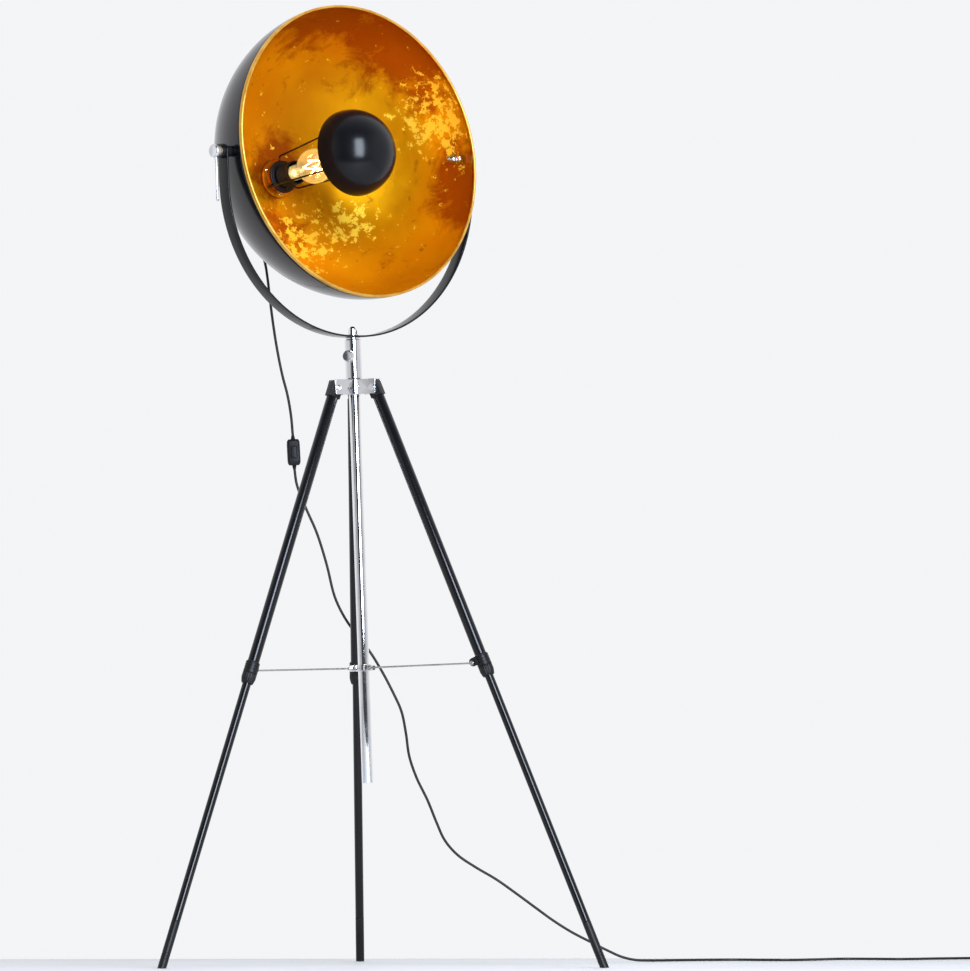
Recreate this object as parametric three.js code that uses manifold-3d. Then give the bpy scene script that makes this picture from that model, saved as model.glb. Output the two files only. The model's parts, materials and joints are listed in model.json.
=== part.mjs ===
// Tripod floor lamp: a deep dish shade in a U-shaped yoke, on a chrome column with three folding,
// telescopic legs. Millimetres, +Z up, the floor at z = 0 and the origin in the middle of the lamp.
import * as THREE from "three";
import { mergeVertices } from "three/addons/utils/BufferGeometryUtils.js";
import Module from "manifold-3d";

const wasm = await Module();
wasm.setup();

// ---------------------------------------------------------------- driving dimensions

const GAP = 0.3; // clearance between pieces that touch or slide
const WELD = 1; // how far two shapes that become one piece run into each other

// Stance
const LEAN = 1.97; // degrees by which the column leans
const LEAN_AZIMUTH = 176; // the way it leans to
const SPLAY = 21.56; // degrees between the column and each leg
const FOLD = 18.5; // degrees that each leg folds in
const HEIGHT_TRAVEL = 430;

// Legs
const LEG_PIVOT_RADIUS = 38.7;
const UPPER_LEG = 505; // pivot to the lower end of the upper tube
const LOWER_LEG = 585; // top of the lower tube to the sole of the foot
const LEG_OVERLAP = 37; // least length of lower tube inside the upper one
const UPPER_TUBE_R = 9.75;
const UPPER_TUBE_WALL = 1.25;
const LOWER_TUBE_R = 7.2;
const LOWER_TUBE_WALL = 1.2;
const FOOT_LENGTH = 82;
const PLUG_DEPTH = 18; // how far a spigot goes into its tube

// Leg end caps and the pivot screws
const LEG_CAP_WIDTH = 16.4;
const LEG_CAP_DEPTH = 21;
const LEG_CAP_TOP = 13;
const LEG_CAP_BOTTOM = 16;
const SCREW_R = 3;
const SCREW_HEAD_R = 5.2;
const SCREW_HEAD = 3.2;

// Leg clamps
const CLAMP_WALL = 1.95;
const CLAMP_LENGTH = 20;
const CLAMP_LIP = 3.5; // thickness of the lip below the end of the upper tube
const LOCK_LENGTH = 18;
const LOCK_TIP_R = 9.6;
const LUG_PROUD = 1.2; // how far the spreader lug stands out past the clamp
const LUG_REACH = 19; // from the leg's axis to the far side of the spreader lug
const LUG_HOLE = 14; // from the leg's axis to the rod's pivot
const LUG_THICKNESS = 6;
const LUG_HALF_HEIGHT = 7;

// Hub, column and sleeve
const HUB_R = 17;
const HUB_ABOVE = 14.5;
const HUB_BELOW = 10.5;
const EAR_REACH = 45;
const EAR_THICKNESS = 4;
const COLUMN_R = 9.5;
const COLUMN_WALL = 1.3;
const COLUMN_TAIL = 192; // column left below the spreader collar
const SLEEVE_R = 13.9;
const SLEEVE_LENGTH = 67;
const POLE_WALL = 1.2;
const POLE_TAIL = 60; // column left below the end of the pole
const POLE_CAP_R = 12;
const POLE_CAP = 3.3;
const HEIGHT_KNOB_HEIGHT = 53;
const HEIGHT_KNOB_AZIMUTH = -110;
const HEIGHT_KNOB_R = 9.7;
const HEIGHT_KNOB_LENGTH = 14;
const SMALL_STUD_R = 2.5;
const SMALL_STUD_SHOW = 6; // stud seen between a boss and its knob

// Spreader
const COLLAR_HEIGHT = 10.4;
const COLLAR_PROUD = 0.3; // how far the collar stands out past the faces of its ears
const COLLAR_PIVOT_RADIUS = 17;
const COLLAR_EAR_REACH = 21;
const COLLAR_EAR_THICKNESS = 4.7;
const ROD_R = 1.5;
const ROD_EYE_R = 4;
const COLLAR_SCREW_AZIMUTH = -8;
const COLLAR_SCREW_R = 3.6;
const COLLAR_SCREW_LENGTH = 5;

// Yoke
const YOKE_YAW = 35.65; // degrees that the yoke is turned on the pole
const STRIP_WIDTH = 25;
const STRIP_THICKNESS = 3;
const YOKE_STRAIGHT = 49.4; // straight length of each arm below the tilt axis
const YOKE_FLAT = 6; // half of the flat at the bottom of the yoke
const SPACER_LENGTH = 11;
const SPACER_R = 9.5;
const BOSS_R = 12;
const BOSS_LENGTH = 7;
const PIVOT_BOLT_R = 4;
const PIVOT_BOLT_INSIDE = 30; // bolt seen inside the dish
const PIVOT_NUT_R = 8.6;
const PIVOT_NUT_LENGTH = 14;
// The left knob has the lever; the right one is a low nut that the dish hides in the photo.
const TILT_KNOBS = {
  left: { radius: 11.75, length: 13.5, bolt: 8 },
  right: { radius: 7, length: 5, bolt: 3 },
};
const LEVER_LENGTH = 84;
const LEVER_R = 3;
const SWIVEL_BOLT_R = 4;
const SWIVEL_WASHER_R = 9.5;
const SWIVEL_WASHER = 1.6;
const ACORN_R = 7.6;
const ACORN_HEX = 7;

// Dish
const DISH_R = 250;
const DISH_DEPTH = 232; // rim plane to the outside of the apex
const DISH_WALL = 1.5;
const RIM_BEAD_R = 2.2;
const PIVOT_SETBACK = 36; // the tilt axis lies this far behind the rim
const DISH_TILT = 7.15; // degrees that the dish looks up
const CABLE_HOLE_R = 5.2;

// Lampholder, bulb and glare cap
const FLANGE_R = 34;
const FLANGE = 3;
const HOLDER_R = 20.5;
const HOLDER_LENGTH = 50;
const HOLDER_WALL = 2.5;
const SOCKET_DEPTH = 32;
const SHADE_RING_WALL = 7.2;
const SHADE_RING = 5;
const SHADE_RING_BACK = 34; // from the holder's front to the ring
const BULB_BASE_R = 13.2;
const BULB_BASE_LENGTH = 27;
const BULB_R = 30;
const BULB_GLASS_LENGTH = 84;
const BULB_WALL = 1;
const STEM_R = 2.5;
const CAP_R = 73.6;
const CAP_WALL = 1.2;
const CAP_SEGMENTS = 24;
const CAP_STEPS = 6;
const CAP_BEHIND_RIM = 20; // the cap's open edge lies this far inside the dish's rim
const CAP_ROD_R = 1.5;
const CAP_ROD_HEEL = 37; // radius at which the rods turn in behind the shade ring
const CAP_ROD_INSET = 19.6; // from the cap's outer radius in to the rods' ends

// Cable gland
const GLAND_R = 9;
const GLAND_LENGTH = 8;
const RELIEF_LENGTH = 36.5;
const RELIEF_R = 5.5;

// Cord
const CORD_R = 2.25;
const CORD_SIDES = 8;
const COIL_TURN_R = 25; // middle of the turns
const COIL_LAYERS = 2;
const COIL_ROWS = 2;
const SWITCH_WIDTH = 22;
const SWITCH_DEPTH = 17;
const ROCKER_LENGTH = 18;
const ROCKER_WIDTH = 9;
const ROCKER_PROUD = 2.5;
const PLUG_LENGTH = 36;
const PLUG_WIDTH = 26;
const PLUG_HEIGHT = 13.7;
const PLUG_RELIEF = 24;
const ROCKER_DEPTH = 7; // depth of the well behind the switch's face
const ROCKER_TILT = 6; // degrees that the rocker leans to each side
const ROCKER_END_GAP = 0.9; // clearance at the ends of the well for the rocker's swing
const CORD_DROP_STEPS = 34;
const CORD_FALL_STEPS = 46;
const PIN_R = 2;
const PIN_LENGTH = 19;
const PIN_SPACING = 18.6;

// The cord's route, chosen by hand, from the gland to the switch and from the switch to the coil.
const CORD_DROP = [
  [-189.2, 93.8, 1321.8],
  [-193.6, 100, 1320.7],
  [-198, 106.2, 1319.3],
  [-204.6, 115.3, 1314.6],
  [-210.4, 123.4, 1305],
  [-213.6, 128.8, 1291],
  [-211.5, 130, 1268],
  [-203, 128, 1244],
  [-189, 122, 1220],
  [-179, 118, 1194],
  [-174, 116, 1165],
  [-170, 115, 1130],
  [-165, 113, 1090],
  [-158, 112, 1045],
  [-149, 111, 1000],
  [-140, 110, 965],
  [-134, 110, 930],
  [-131, 110, 897],
];
const CORD_FALL = [
  [-128, 110, 839],
  [-124, 110, 813],
  [-109, 109, 774],
  [-90, 110, 731],
  [-73, 111, 677],
  [-59, 113, 622],
  [-42, 115, 587],
  [-21, 116, 557],
  [1, 116, 529],
  [22, 117, 495],
  [41, 119, 459],
  [55, 122, 428],
  [63, 127, 391],
  [69, 133, 352],
  [82, 139, 315],
  [101, 145, 277],
  [116, 151, 241],
  [131, 156, 209],
  [153, 161, 184],
  [184, 165, 163],
  [220, 170, 142],
  [253, 174, 119],
  [286, 178, 95],
  [318, 183, 72],
  [350, 187, 52],
  [383, 192, 35],
  [413, 196, 20],
  [438, 200, 9],
  [462, 204, 3.6],
  [486, 210, 2.7],
  [532, 234, 2.7],
  [588, 261, 2.7],
  [641, 274, 2.7],
  [690, 248, 2.7],
  [733, 237, 2.7],
  [784, 289, 2.7],
  [834, 348, 2.7],
  [884, 335, 2.7],
  [936, 315, 2.7],
  [992, 357, 2.7],
  [1042, 388, 2.7],
  [1068, 402, 2.7],
  [1092.4, 411.3, 2.7],
];
const COIL_CENTRE = [1118, 392];
const PLUG_ANGLE = 180; // where the plug points

// ---------------------------------------------------------------- materials

const finish = (color, roughness, metalness) =>
  new THREE.MeshStandardMaterial({ color, roughness, metalness });
const BLACK_PAINT = finish(0x17181b, 0.35, 0.2);
const BLACK_PLASTIC = finish(0x0e0e10, 0.5, 0);
const CHROME = finish(0xd8dadc, 0.12, 1);
const GOLD_LEAF = finish(0xc98508, 0.4, 0.7);
const GLASS = finish(0xf4f1e8, 0.05, 0);
const BRASS = finish(0xb9974f, 0.3, 1);
const CORD_BLACK = finish(0x101012, 0.6, 0);

// ---------------------------------------------------------------- shapes

const rad = THREE.MathUtils.degToRad;

// A closed geometry as a solid for joining and cutting.
function solid(geometry) {
  const bare = geometry.clone();
  bare.deleteAttribute("normal");
  bare.deleteAttribute("uv");
  const welded = mergeVertices(bare, 1e-4);
  return new wasm.Manifold(
    new wasm.Mesh({
      numProp: 3,
      vertProperties: new Float32Array(welded.attributes.position.array),
      triVerts: new Uint32Array(welded.index.array),
    }),
  );
}

function geometryOf(manifold) {
  const mesh = manifold.getMesh();
  const geometry = new THREE.BufferGeometry();
  geometry.setAttribute("position", new THREE.BufferAttribute(mesh.vertProperties, 3));
  geometry.setIndex(new THREE.BufferAttribute(mesh.triVerts, 1));
  geometry.computeVertexNormals();
  return geometry;
}

const join = (first, ...others) =>
  geometryOf(others.reduce((whole, other) => whole.add(solid(other)), solid(first)));
const cut = (first, ...others) =>
  geometryOf(others.reduce((whole, other) => whole.subtract(solid(other)), solid(first)));
const overlap = (first, second) => geometryOf(solid(first).intersect(solid(second)));

// A profile of [radius, height] points turned about Z. It starts and ends on the axis, or closes.
function turned(profile, segments = 20) {
  const points = profile.map(([r, z]) => new THREE.Vector2(r, z));
  if (THREE.ShapeUtils.isClockWise(points)) points.reverse();
  return new THREE.LatheGeometry(points, segments).rotateX(Math.PI / 2);
}

const disc = (radius, low, high, segments) =>
  turned([[0, low], [radius, low], [radius, high], [0, high]], segments);

const tube = (outer, inner, low, high, segments) =>
  turned([[inner, low], [outer, low], [outer, high], [inner, high], [inner, low]], segments);

// Points of an arc as [radius, height] pairs about the centre [0, centre].
function arc(radius, centre, from, to, steps) {
  return Array.from({ length: steps + 1 }, (_, i) => {
    const angle = rad(from + ((to - from) * i) / steps);
    return [radius * Math.cos(angle), centre + radius * Math.sin(angle)];
  });
}

const box = (x0, x1, y0, y1, z0, z1) =>
  new THREE.BoxGeometry(x1 - x0, y1 - y0, z1 - z0).translate(
    (x0 + x1) / 2,
    (y0 + y1) / 2,
    (z0 + z1) / 2,
  );

// A round bar along a curve, with flat ends.
function bar(curve, radius, steps, sides = CORD_SIDES) {
  const ring = Array.from({ length: sides }, (_, i) => {
    const angle = (2 * Math.PI * i) / sides;
    return new THREE.Vector2(radius * Math.cos(angle), radius * Math.sin(angle));
  });
  return new THREE.ExtrudeGeometry(new THREE.Shape(ring), {
    steps,
    extrudePath: curve,
  });
}

const smooth = (points) =>
  new THREE.CatmullRomCurve3(
    points.map((p) => new THREE.Vector3(...p)),
    false,
    "centripetal",
  );

// A shape drawn in XZ and extruded along Y, centred on y = 0.
const plate = (shape, thickness, curveSegments = 8) =>
  new THREE.ExtrudeGeometry(shape, { depth: thickness, bevelEnabled: false, curveSegments })
    .rotateX(Math.PI / 2)
    .translate(0, thickness / 2, 0);

const alongX = (geometry) => geometry.rotateY(Math.PI / 2);
const alongY = (geometry) => geometry.rotateX(-Math.PI / 2);

function add(group, name, geometry, material) {
  const mesh = new THREE.Mesh(geometry, material);
  mesh.name = name;
  group.add(mesh);
  return mesh;
}

// A group at a place in its parent, named after the joint that turns or slides it. A joint's
// travel, in degrees or millimetres, is kept with its group.
function frame(parent, name, position = [0, 0, 0], rotation = [0, 0, 0]) {
  const group = new THREE.Group();
  group.name = name;
  group.position.set(...position);
  group.rotation.set(...rotation.map(rad), "ZYX");
  parent.add(group);
  return group;
}

// ---------------------------------------------------------------- stance

const LEGS = [
  { side: "left", azimuth: -150 },
  { side: "right", azimuth: -30 },
  { side: "back", azimuth: 90 },
];
const leanAxis = new THREE.Vector3(
  -Math.sin(rad(LEAN_AZIMUTH)),
  Math.cos(rad(LEAN_AZIMUTH)),
  0,
);
const lean = new THREE.Quaternion().setFromAxisAngle(leanAxis, rad(LEAN));

// The longest leg keeps LEG_OVERLAP inside its upper tube, and that settles the hub's height.
const longestLeg = UPPER_LEG + LOWER_LEG - LEG_OVERLAP;
for (const leg of LEGS) {
  const out = new THREE.Vector3(Math.cos(rad(leg.azimuth)), Math.sin(rad(leg.azimuth)), 0);
  const down = out.clone().multiplyScalar(Math.sin(rad(SPLAY)));
  down.z = -Math.cos(rad(SPLAY));
  leg.drop = -down.applyQuaternion(lean).z;
  leg.rise = out.multiplyScalar(LEG_PIVOT_RADIUS).applyQuaternion(lean).z;
}
const hubHeight = Math.min(...LEGS.map((leg) => longestLeg * leg.drop - leg.rise));
for (const leg of LEGS) leg.length = (hubHeight + leg.rise) / leg.drop;

const part = new THREE.Group();
const lamp = frame(part, "lamp");
const stand = frame(lamp, "stand", [0, 0, hubHeight]);
stand.quaternion.copy(lean);

// ---------------------------------------------------------------- hub, column and sleeve

const earInside = LEG_CAP_WIDTH / 2 + GAP;
const screwHalf = earInside + EAR_THICKNESS;
const columnBore = COLUMN_R + GAP;
const poleR = COLUMN_R - COLUMN_WALL - GAP;

function hub() {
  const ears = [];
  for (const leg of LEGS) {
    for (const side of [-1, 1]) {
      const inner = side * earInside;
      const outer = side * screwHalf;
      const ear = box(
        HUB_R - 2 * WELD - EAR_THICKNESS,
        EAR_REACH,
        Math.min(inner, outer),
        Math.max(inner, outer),
        -HUB_BELOW,
        HUB_ABOVE,
      );
      ears.push(ear.rotateZ(rad(leg.azimuth)));
    }
  }
  const holes = LEGS.map((leg) =>
    alongY(disc(SCREW_R + GAP, -2 * screwHalf, 2 * screwHalf, 12))
      .translate(LEG_PIVOT_RADIUS, 0, 0)
      .rotateZ(rad(leg.azimuth)),
  );
  const whole = join(disc(HUB_R, -HUB_BELOW, HUB_ABOVE, 32), ...ears);
  return cut(whole, disc(columnBore, -2 * HUB_BELOW, 2 * HUB_ABOVE), ...holes);
}

// ---------------------------------------------------------------- legs

const clampTop = UPPER_LEG + CLAMP_LIP - CLAMP_LENGTH; // along the leg, from its pivot
const clampBottom = UPPER_LEG + CLAMP_LIP;
const lugAt = clampTop + CLAMP_LENGTH / 2;
const upperInside = UPPER_TUBE_R - UPPER_TUBE_WALL;
const lowerInside = LOWER_TUBE_R - LOWER_TUBE_WALL;
const clampR = UPPER_TUBE_R + GAP + CLAMP_WALL;
const rodFace = clampR + LUG_PROUD; // the face of the lugs that the rods lie against
const rodSide = -rodFace - GAP - ROD_R; // each rod passes beside its leg
const collarR = rodFace + COLLAR_PROUD;

function legCap() {
  const half = LEG_CAP_DEPTH / 2;
  const round = half / 2;
  const outline = new THREE.Shape();
  outline.moveTo(-half, -LEG_CAP_BOTTOM);
  outline.lineTo(half, -LEG_CAP_BOTTOM);
  outline.lineTo(half, LEG_CAP_TOP - round);
  outline.absarc(half - round, LEG_CAP_TOP - round, round, 0, Math.PI / 2, false);
  outline.lineTo(round - half, LEG_CAP_TOP);
  outline.absarc(round - half, LEG_CAP_TOP - round, round, Math.PI / 2, Math.PI, false);
  const spigot = disc(
    upperInside - GAP,
    -LEG_CAP_BOTTOM - PLUG_DEPTH,
    WELD - LEG_CAP_BOTTOM,
    16,
  );
  const hole = alongY(disc(SCREW_R + GAP, -LEG_CAP_WIDTH, LEG_CAP_WIDTH, 12));
  return cut(join(plate(outline, LEG_CAP_WIDTH, 4), spigot), hole);
}

function pivotScrew() {
  const shank = disc(SCREW_R, -screwHalf - SCREW_HEAD, screwHalf + GAP + WELD, 12);
  const head = disc(SCREW_HEAD_R, screwHalf + GAP, screwHalf + GAP + SCREW_HEAD, 16);
  const nut = disc(SCREW_HEAD_R, -screwHalf - GAP - SCREW_HEAD, -screwHalf - GAP, 6);
  return alongY(join(shank, head, nut));
}

// The clamp is fixed on the upper tube; its lug carries the spreader rod on one side.
function legClamp() {
  const bore = UPPER_TUBE_R + GAP;
  const throat = LOWER_TUBE_R + GAP;
  const lip = -UPPER_LEG - GAP;
  const body = turned([
    [throat, -clampBottom],
    [clampR, -clampBottom],
    [clampR, -clampTop - 2],
    [clampR - 1.5, -clampTop],
    [bore, -clampTop],
    [bore, lip],
    [throat, lip],
    [throat, -clampBottom],
  ]);
  const lug = box(
    -LUG_REACH,
    0,
    -rodFace,
    LUG_THICKNESS - rodFace,
    -lugAt - LUG_HALF_HEIGHT,
    -lugAt + LUG_HALF_HEIGHT,
  );
  return cut(join(body, lug), disc(bore, lip, 0), disc(throat, -clampBottom - WELD, 0));
}

function legLock() {
  const bore = LOWER_TUBE_R + GAP;
  const top = -clampBottom - GAP;
  const tip = top - LOCK_LENGTH;
  return turned([
    [bore, tip],
    [LOCK_TIP_R, tip],
    [clampR, top - LOCK_LENGTH / 2],
    [clampR, top],
    [bore, top],
    [bore, tip],
  ]);
}

// The foot is a plug in the lower tube, cut off flat where it meets the floor.
function foot(leg, group) {
  const tubeEnd = FOOT_LENGTH - leg.length;
  const stem = turned(
    [
      [0, -leg.length - FOOT_LENGTH],
      [LOWER_TUBE_R, -leg.length - FOOT_LENGTH],
      [LOWER_TUBE_R, tubeEnd - GAP],
      [lowerInside - GAP, tubeEnd - GAP],
      [lowerInside - GAP, tubeEnd + PLUG_DEPTH],
      [0, tubeEnd + PLUG_DEPTH],
    ],
    20,
  );
  group.updateWorldMatrix(true, false);
  const reach = hubHeight;
  const ground = box(-reach, reach, -reach, reach, -reach, 0);
  ground.applyMatrix4(group.matrixWorld.clone().invert());
  return cut(stem, ground);
}

function addLeg(leg) {
  const arm = frame(stand, "", [0, 0, 0], [0, 0, leg.azimuth]);
  add(arm, `pivot_screw_${leg.side}`, pivotScrew().translate(LEG_PIVOT_RADIUS, 0, 0), CHROME);
  const pivot = frame(arm, `fold_${leg.side}`, [LEG_PIVOT_RADIUS, 0, 0], [0, -SPLAY, 0]);
  pivot.userData.travel = FOLD;
  add(pivot, `leg_cap_${leg.side}`, legCap(), BLACK_PLASTIC);
  add(
    pivot,
    `upper_leg_${leg.side}`,
    tube(UPPER_TUBE_R, upperInside, -UPPER_LEG, -LEG_CAP_BOTTOM - GAP, 20),
    BLACK_PAINT,
  );
  add(pivot, `leg_clamp_${leg.side}`, legClamp(), BLACK_PLASTIC);
  add(frame(pivot, `lock_${leg.side}`), `leg_lock_${leg.side}`, legLock(), BLACK_PLASTIC);
  const lower = frame(pivot, `extend_${leg.side}`);
  const top = LOWER_LEG - leg.length;
  add(
    lower,
    `lower_leg_${leg.side}`,
    tube(LOWER_TUBE_R, lowerInside, FOOT_LENGTH - leg.length, top, 20),
    BLACK_PAINT,
  );
  add(lower, `foot_${leg.side}`, foot(leg, lower), BLACK_PLASTIC);
}

// ---------------------------------------------------------------- spreader

// Where the rods' outer ends lie at a splay angle, as [radius, height] in the stand's frame.
const lugPlace = (splay) => [
  LEG_PIVOT_RADIUS + lugAt * Math.sin(rad(splay)) - LUG_HOLE * Math.cos(rad(splay)),
  -lugAt * Math.cos(rad(splay)) - LUG_HOLE * Math.sin(rad(splay)),
];
const [lugRadius, collarHeight] = lugPlace(SPLAY); // the rods lie level when the legs are open
const rodLength = lugRadius - COLLAR_PIVOT_RADIUS;
const columnEnd = collarHeight - COLUMN_TAIL;

// How far the collar rises and the rods turn while the legs fold.
const [foldedRadius, foldedHeight] = lugPlace(SPLAY - FOLD);
const rodTurn = Math.acos((foldedRadius - COLLAR_PIVOT_RADIUS) / rodLength);
const collarRise = foldedHeight + rodLength * Math.sin(rodTurn) - collarHeight;

function spreaderCollar() {
  const half = COLLAR_HEIGHT / 2;
  const ears = LEGS.map((leg) =>
    box(
      WELD,
      COLLAR_EAR_REACH,
      -rodFace,
      COLLAR_EAR_THICKNESS - rodFace,
      -half,
      half,
    ).rotateZ(rad(leg.azimuth)),
  );
  return cut(join(disc(collarR, -half, half), ...ears), disc(columnBore, -2 * half, 2 * half));
}

function spreaderRod() {
  const stick = alongX(disc(ROD_R, 0, rodLength, 8));
  const eyes = [0, rodLength].map((x) =>
    alongY(disc(ROD_EYE_R, -ROD_R - WELD, ROD_R, 12)).translate(x, 0, 0),
  );
  return join(stick, ...eyes);
}

function addSpreader() {
  const slide = frame(stand, "collar_slide", [0, 0, collarHeight]);
  slide.userData.travel = collarRise;
  add(slide, "spreader_collar", spreaderCollar(), CHROME);
  const screw = frame(slide, "collar_screw_turn", [0, 0, 0], [0, 0, COLLAR_SCREW_AZIMUTH]);
  add(
    screw,
    "collar_screw",
    alongX(disc(COLLAR_SCREW_R, collarR + GAP, collarR + GAP + COLLAR_SCREW_LENGTH, 12)),
    BLACK_PLASTIC,
  );
  for (const leg of LEGS) {
    const arm = frame(slide, "", [0, 0, 0], [0, 0, leg.azimuth]);
    const hinge = frame(arm, `rod_${leg.side}`, [COLLAR_PIVOT_RADIUS, rodSide, 0]);
    hinge.userData.travel = THREE.MathUtils.radToDeg(rodTurn);
    add(hinge, `spreader_rod_${leg.side}`, spreaderRod(), CHROME);
  }
}

// ---------------------------------------------------------------- pole, knob and swivel

const sleeveLow = HUB_ABOVE + GAP;
const sleeveTop = sleeveLow + SLEEVE_LENGTH;
const poleCapLow = sleeveTop + GAP;
const yokeSeat = poleCapLow + POLE_CAP; // top of the pole, under the yoke
const stripTop = yokeSeat + GAP + STRIP_THICKNESS;
const boltTop = stripTop + 2 * GAP + SWIVEL_WASHER + ACORN_HEX + ACORN_R / 2;

function pole() {
  const inside = poleR - POLE_WALL;
  return turned([
    [inside, columnEnd + POLE_TAIL],
    [poleR, columnEnd + POLE_TAIL],
    [poleR, poleCapLow],
    [POLE_CAP_R, poleCapLow],
    [POLE_CAP_R, yokeSeat],
    [SWIVEL_BOLT_R + GAP, yokeSeat],
    [SWIVEL_BOLT_R + GAP, poleCapLow],
    [inside, poleCapLow],
    [inside, columnEnd + POLE_TAIL],
  ]);
}

function swivelBolt() {
  const headTop = poleCapLow - GAP;
  const head = disc(poleR - POLE_WALL - GAP, headTop - 2 * SWIVEL_BOLT_R, headTop, 6);
  return join(head, disc(SWIVEL_BOLT_R, headTop - WELD, boltTop, 16));
}

function acornNut() {
  const low = stripTop + 2 * GAP + SWIVEL_WASHER;
  const hex = disc(ACORN_R, low, low + ACORN_HEX, 6);
  const dome = turned(
    [
      [0, low + ACORN_HEX - WELD],
      [ACORN_R - 1, low + ACORN_HEX - WELD],
      ...arc(ACORN_R - 1, low + ACORN_HEX, 0, 90, 4),
    ],
    12,
  );
  return cut(join(hex, dome), disc(SWIVEL_BOLT_R + GAP, low - WELD, boltTop + GAP, 12));
}

function heightKnob() {
  const start = SLEEVE_R + GAP;
  const face = SLEEVE_R + SMALL_STUD_SHOW;
  const grip = turned(
    [
      [0, face],
      [HEIGHT_KNOB_R - 1.5, face],
      [HEIGHT_KNOB_R, face + 1.5],
      [HEIGHT_KNOB_R, face + HEIGHT_KNOB_LENGTH - 2],
      [HEIGHT_KNOB_R - 2, face + HEIGHT_KNOB_LENGTH],
      [0, face + HEIGHT_KNOB_LENGTH],
    ],
    20,
  );
  return alongX(join(grip, disc(SMALL_STUD_R, start, face + WELD, 10)));
}

function addColumn() {
  add(stand, "hub", hub(), CHROME);
  add(
    stand,
    "column_tube",
    tube(COLUMN_R, COLUMN_R - COLUMN_WALL, columnEnd, HUB_ABOVE - GAP),
    CHROME,
  );
  add(stand, "sleeve", tube(SLEEVE_R, poleR + GAP, sleeveLow, sleeveTop), CHROME);
  const knob = frame(
    stand,
    "height_knob_turn",
    [0, 0, HEIGHT_KNOB_HEIGHT],
    [0, 0, HEIGHT_KNOB_AZIMUTH],
  );
  add(knob, "height_knob", heightKnob(), CHROME);
  const lift = frame(stand, "height_slide");
  lift.userData.travel = HEIGHT_TRAVEL;
  add(lift, "pole", pole(), CHROME);
  add(lift, "swivel_bolt", swivelBolt(), CHROME);
  const washerLow = stripTop + GAP;
  add(
    lift,
    "swivel_washer",
    tube(SWIVEL_WASHER_R, SWIVEL_BOLT_R + GAP, washerLow, washerLow + SWIVEL_WASHER, 20),
    CHROME,
  );
  add(lift, "acorn_nut", acornNut(), CHROME);
  return lift;
}

// ---------------------------------------------------------------- yoke

// The dish is half of an ellipsoid. These give its radius at a distance behind the rim, outside
// or, sunk by the wall, inside, and the distance behind the rim at a radius.
const bowlRadius = (behind, sunk = 0) =>
  (DISH_R - sunk) * Math.sqrt(1 - (behind / (DISH_DEPTH - sunk)) ** 2);
const bowlDepth = (radius, sunk = 0) =>
  (DISH_DEPTH - sunk) * Math.sqrt(1 - (radius / (DISH_R - sunk)) ** 2);
const pivotCircle = bowlRadius(PIVOT_SETBACK); // dish radius at the tilt axis
const spacerIn = bowlRadius(PIVOT_SETBACK - SPACER_R) + GAP;
const armIn = spacerIn + SPACER_LENGTH + GAP;
const armOut = armIn + STRIP_THICKNESS;
const bossOut = armOut + BOSS_LENGTH;
const knobIn = bossOut + GAP;
const yokeDepth = YOKE_STRAIGHT + armOut - YOKE_FLAT; // tilt axis to the underside
const tiltHeight = yokeSeat + GAP + yokeDepth; // tilt axis above the leg pivots

// The yoke's frame lies on the tilt axis: X runs along it and the dish faces -Y.
function yokeStrip() {
  const top = STRIP_WIDTH / 2;
  const bend = -YOKE_STRAIGHT;
  const outline = new THREE.Shape();
  outline.moveTo(-armOut, top);
  outline.lineTo(-armOut, bend);
  outline.absarc(-YOKE_FLAT, bend, armOut - YOKE_FLAT, Math.PI, 1.5 * Math.PI, false);
  outline.absarc(YOKE_FLAT, bend, armOut - YOKE_FLAT, 1.5 * Math.PI, 2 * Math.PI, false);
  outline.lineTo(armOut, top);
  outline.lineTo(armIn, top);
  outline.lineTo(armIn, bend);
  outline.absarc(YOKE_FLAT, bend, armIn - YOKE_FLAT, 0, -Math.PI / 2, true);
  outline.absarc(-YOKE_FLAT, bend, armIn - YOKE_FLAT, -Math.PI / 2, -Math.PI, true);
  outline.lineTo(-armIn, top);
  const span = 2 * bossOut;
  const roundEnds = alongX(disc(top, -span, span));
  const below = box(-span, span, -top, top, -2 * armOut, 0);
  const strip = overlap(plate(outline, STRIP_WIDTH, 7), join(roundEnds, below));
  const bosses = [0, Math.PI].map((turn) =>
    alongX(disc(BOSS_R, armOut - WELD, bossOut)).rotateZ(turn),
  );
  return cut(
    join(strip, ...bosses),
    alongX(disc(PIVOT_BOLT_R + GAP, -span, span, 16)),
    disc(SWIVEL_BOLT_R + GAP, -2 * armOut, bend, 16),
  );
}

function tiltKnob({ radius, length, bolt }, withLever) {
  const end = knobIn + length;
  const blind = knobIn + bolt + GAP;
  const bore = PIVOT_BOLT_R + GAP;
  const knob = alongX(
    turned([
      [0, blind],
      [bore, blind],
      [bore, knobIn],
      [radius - 0.12 * radius, knobIn],
      [radius, knobIn + 0.12 * radius],
      [radius, end - 0.25 * radius],
      [radius - 0.25 * radius, end],
      [0, end],
    ]),
  );
  if (!withLever) return knob;
  const lever = turned(
    [
      [0, -LEVER_LENGTH],
      [LEVER_R / 2, -LEVER_LENGTH + LEVER_R / 2],
      [LEVER_R, -radius],
      [LEVER_R, -radius / 2],
      [0, -radius / 2],
    ],
    12,
  );
  return join(knob, lever.translate((knobIn + end) / 2, 0, 0));
}

function pivotNut() {
  const outside = bowlRadius(PIVOT_SETBACK + PIVOT_NUT_R, DISH_WALL) - dishSink - GAP;
  return alongX(tube(PIVOT_NUT_R, PIVOT_BOLT_R + GAP, outside - PIVOT_NUT_LENGTH, outside, 12));
}

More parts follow.
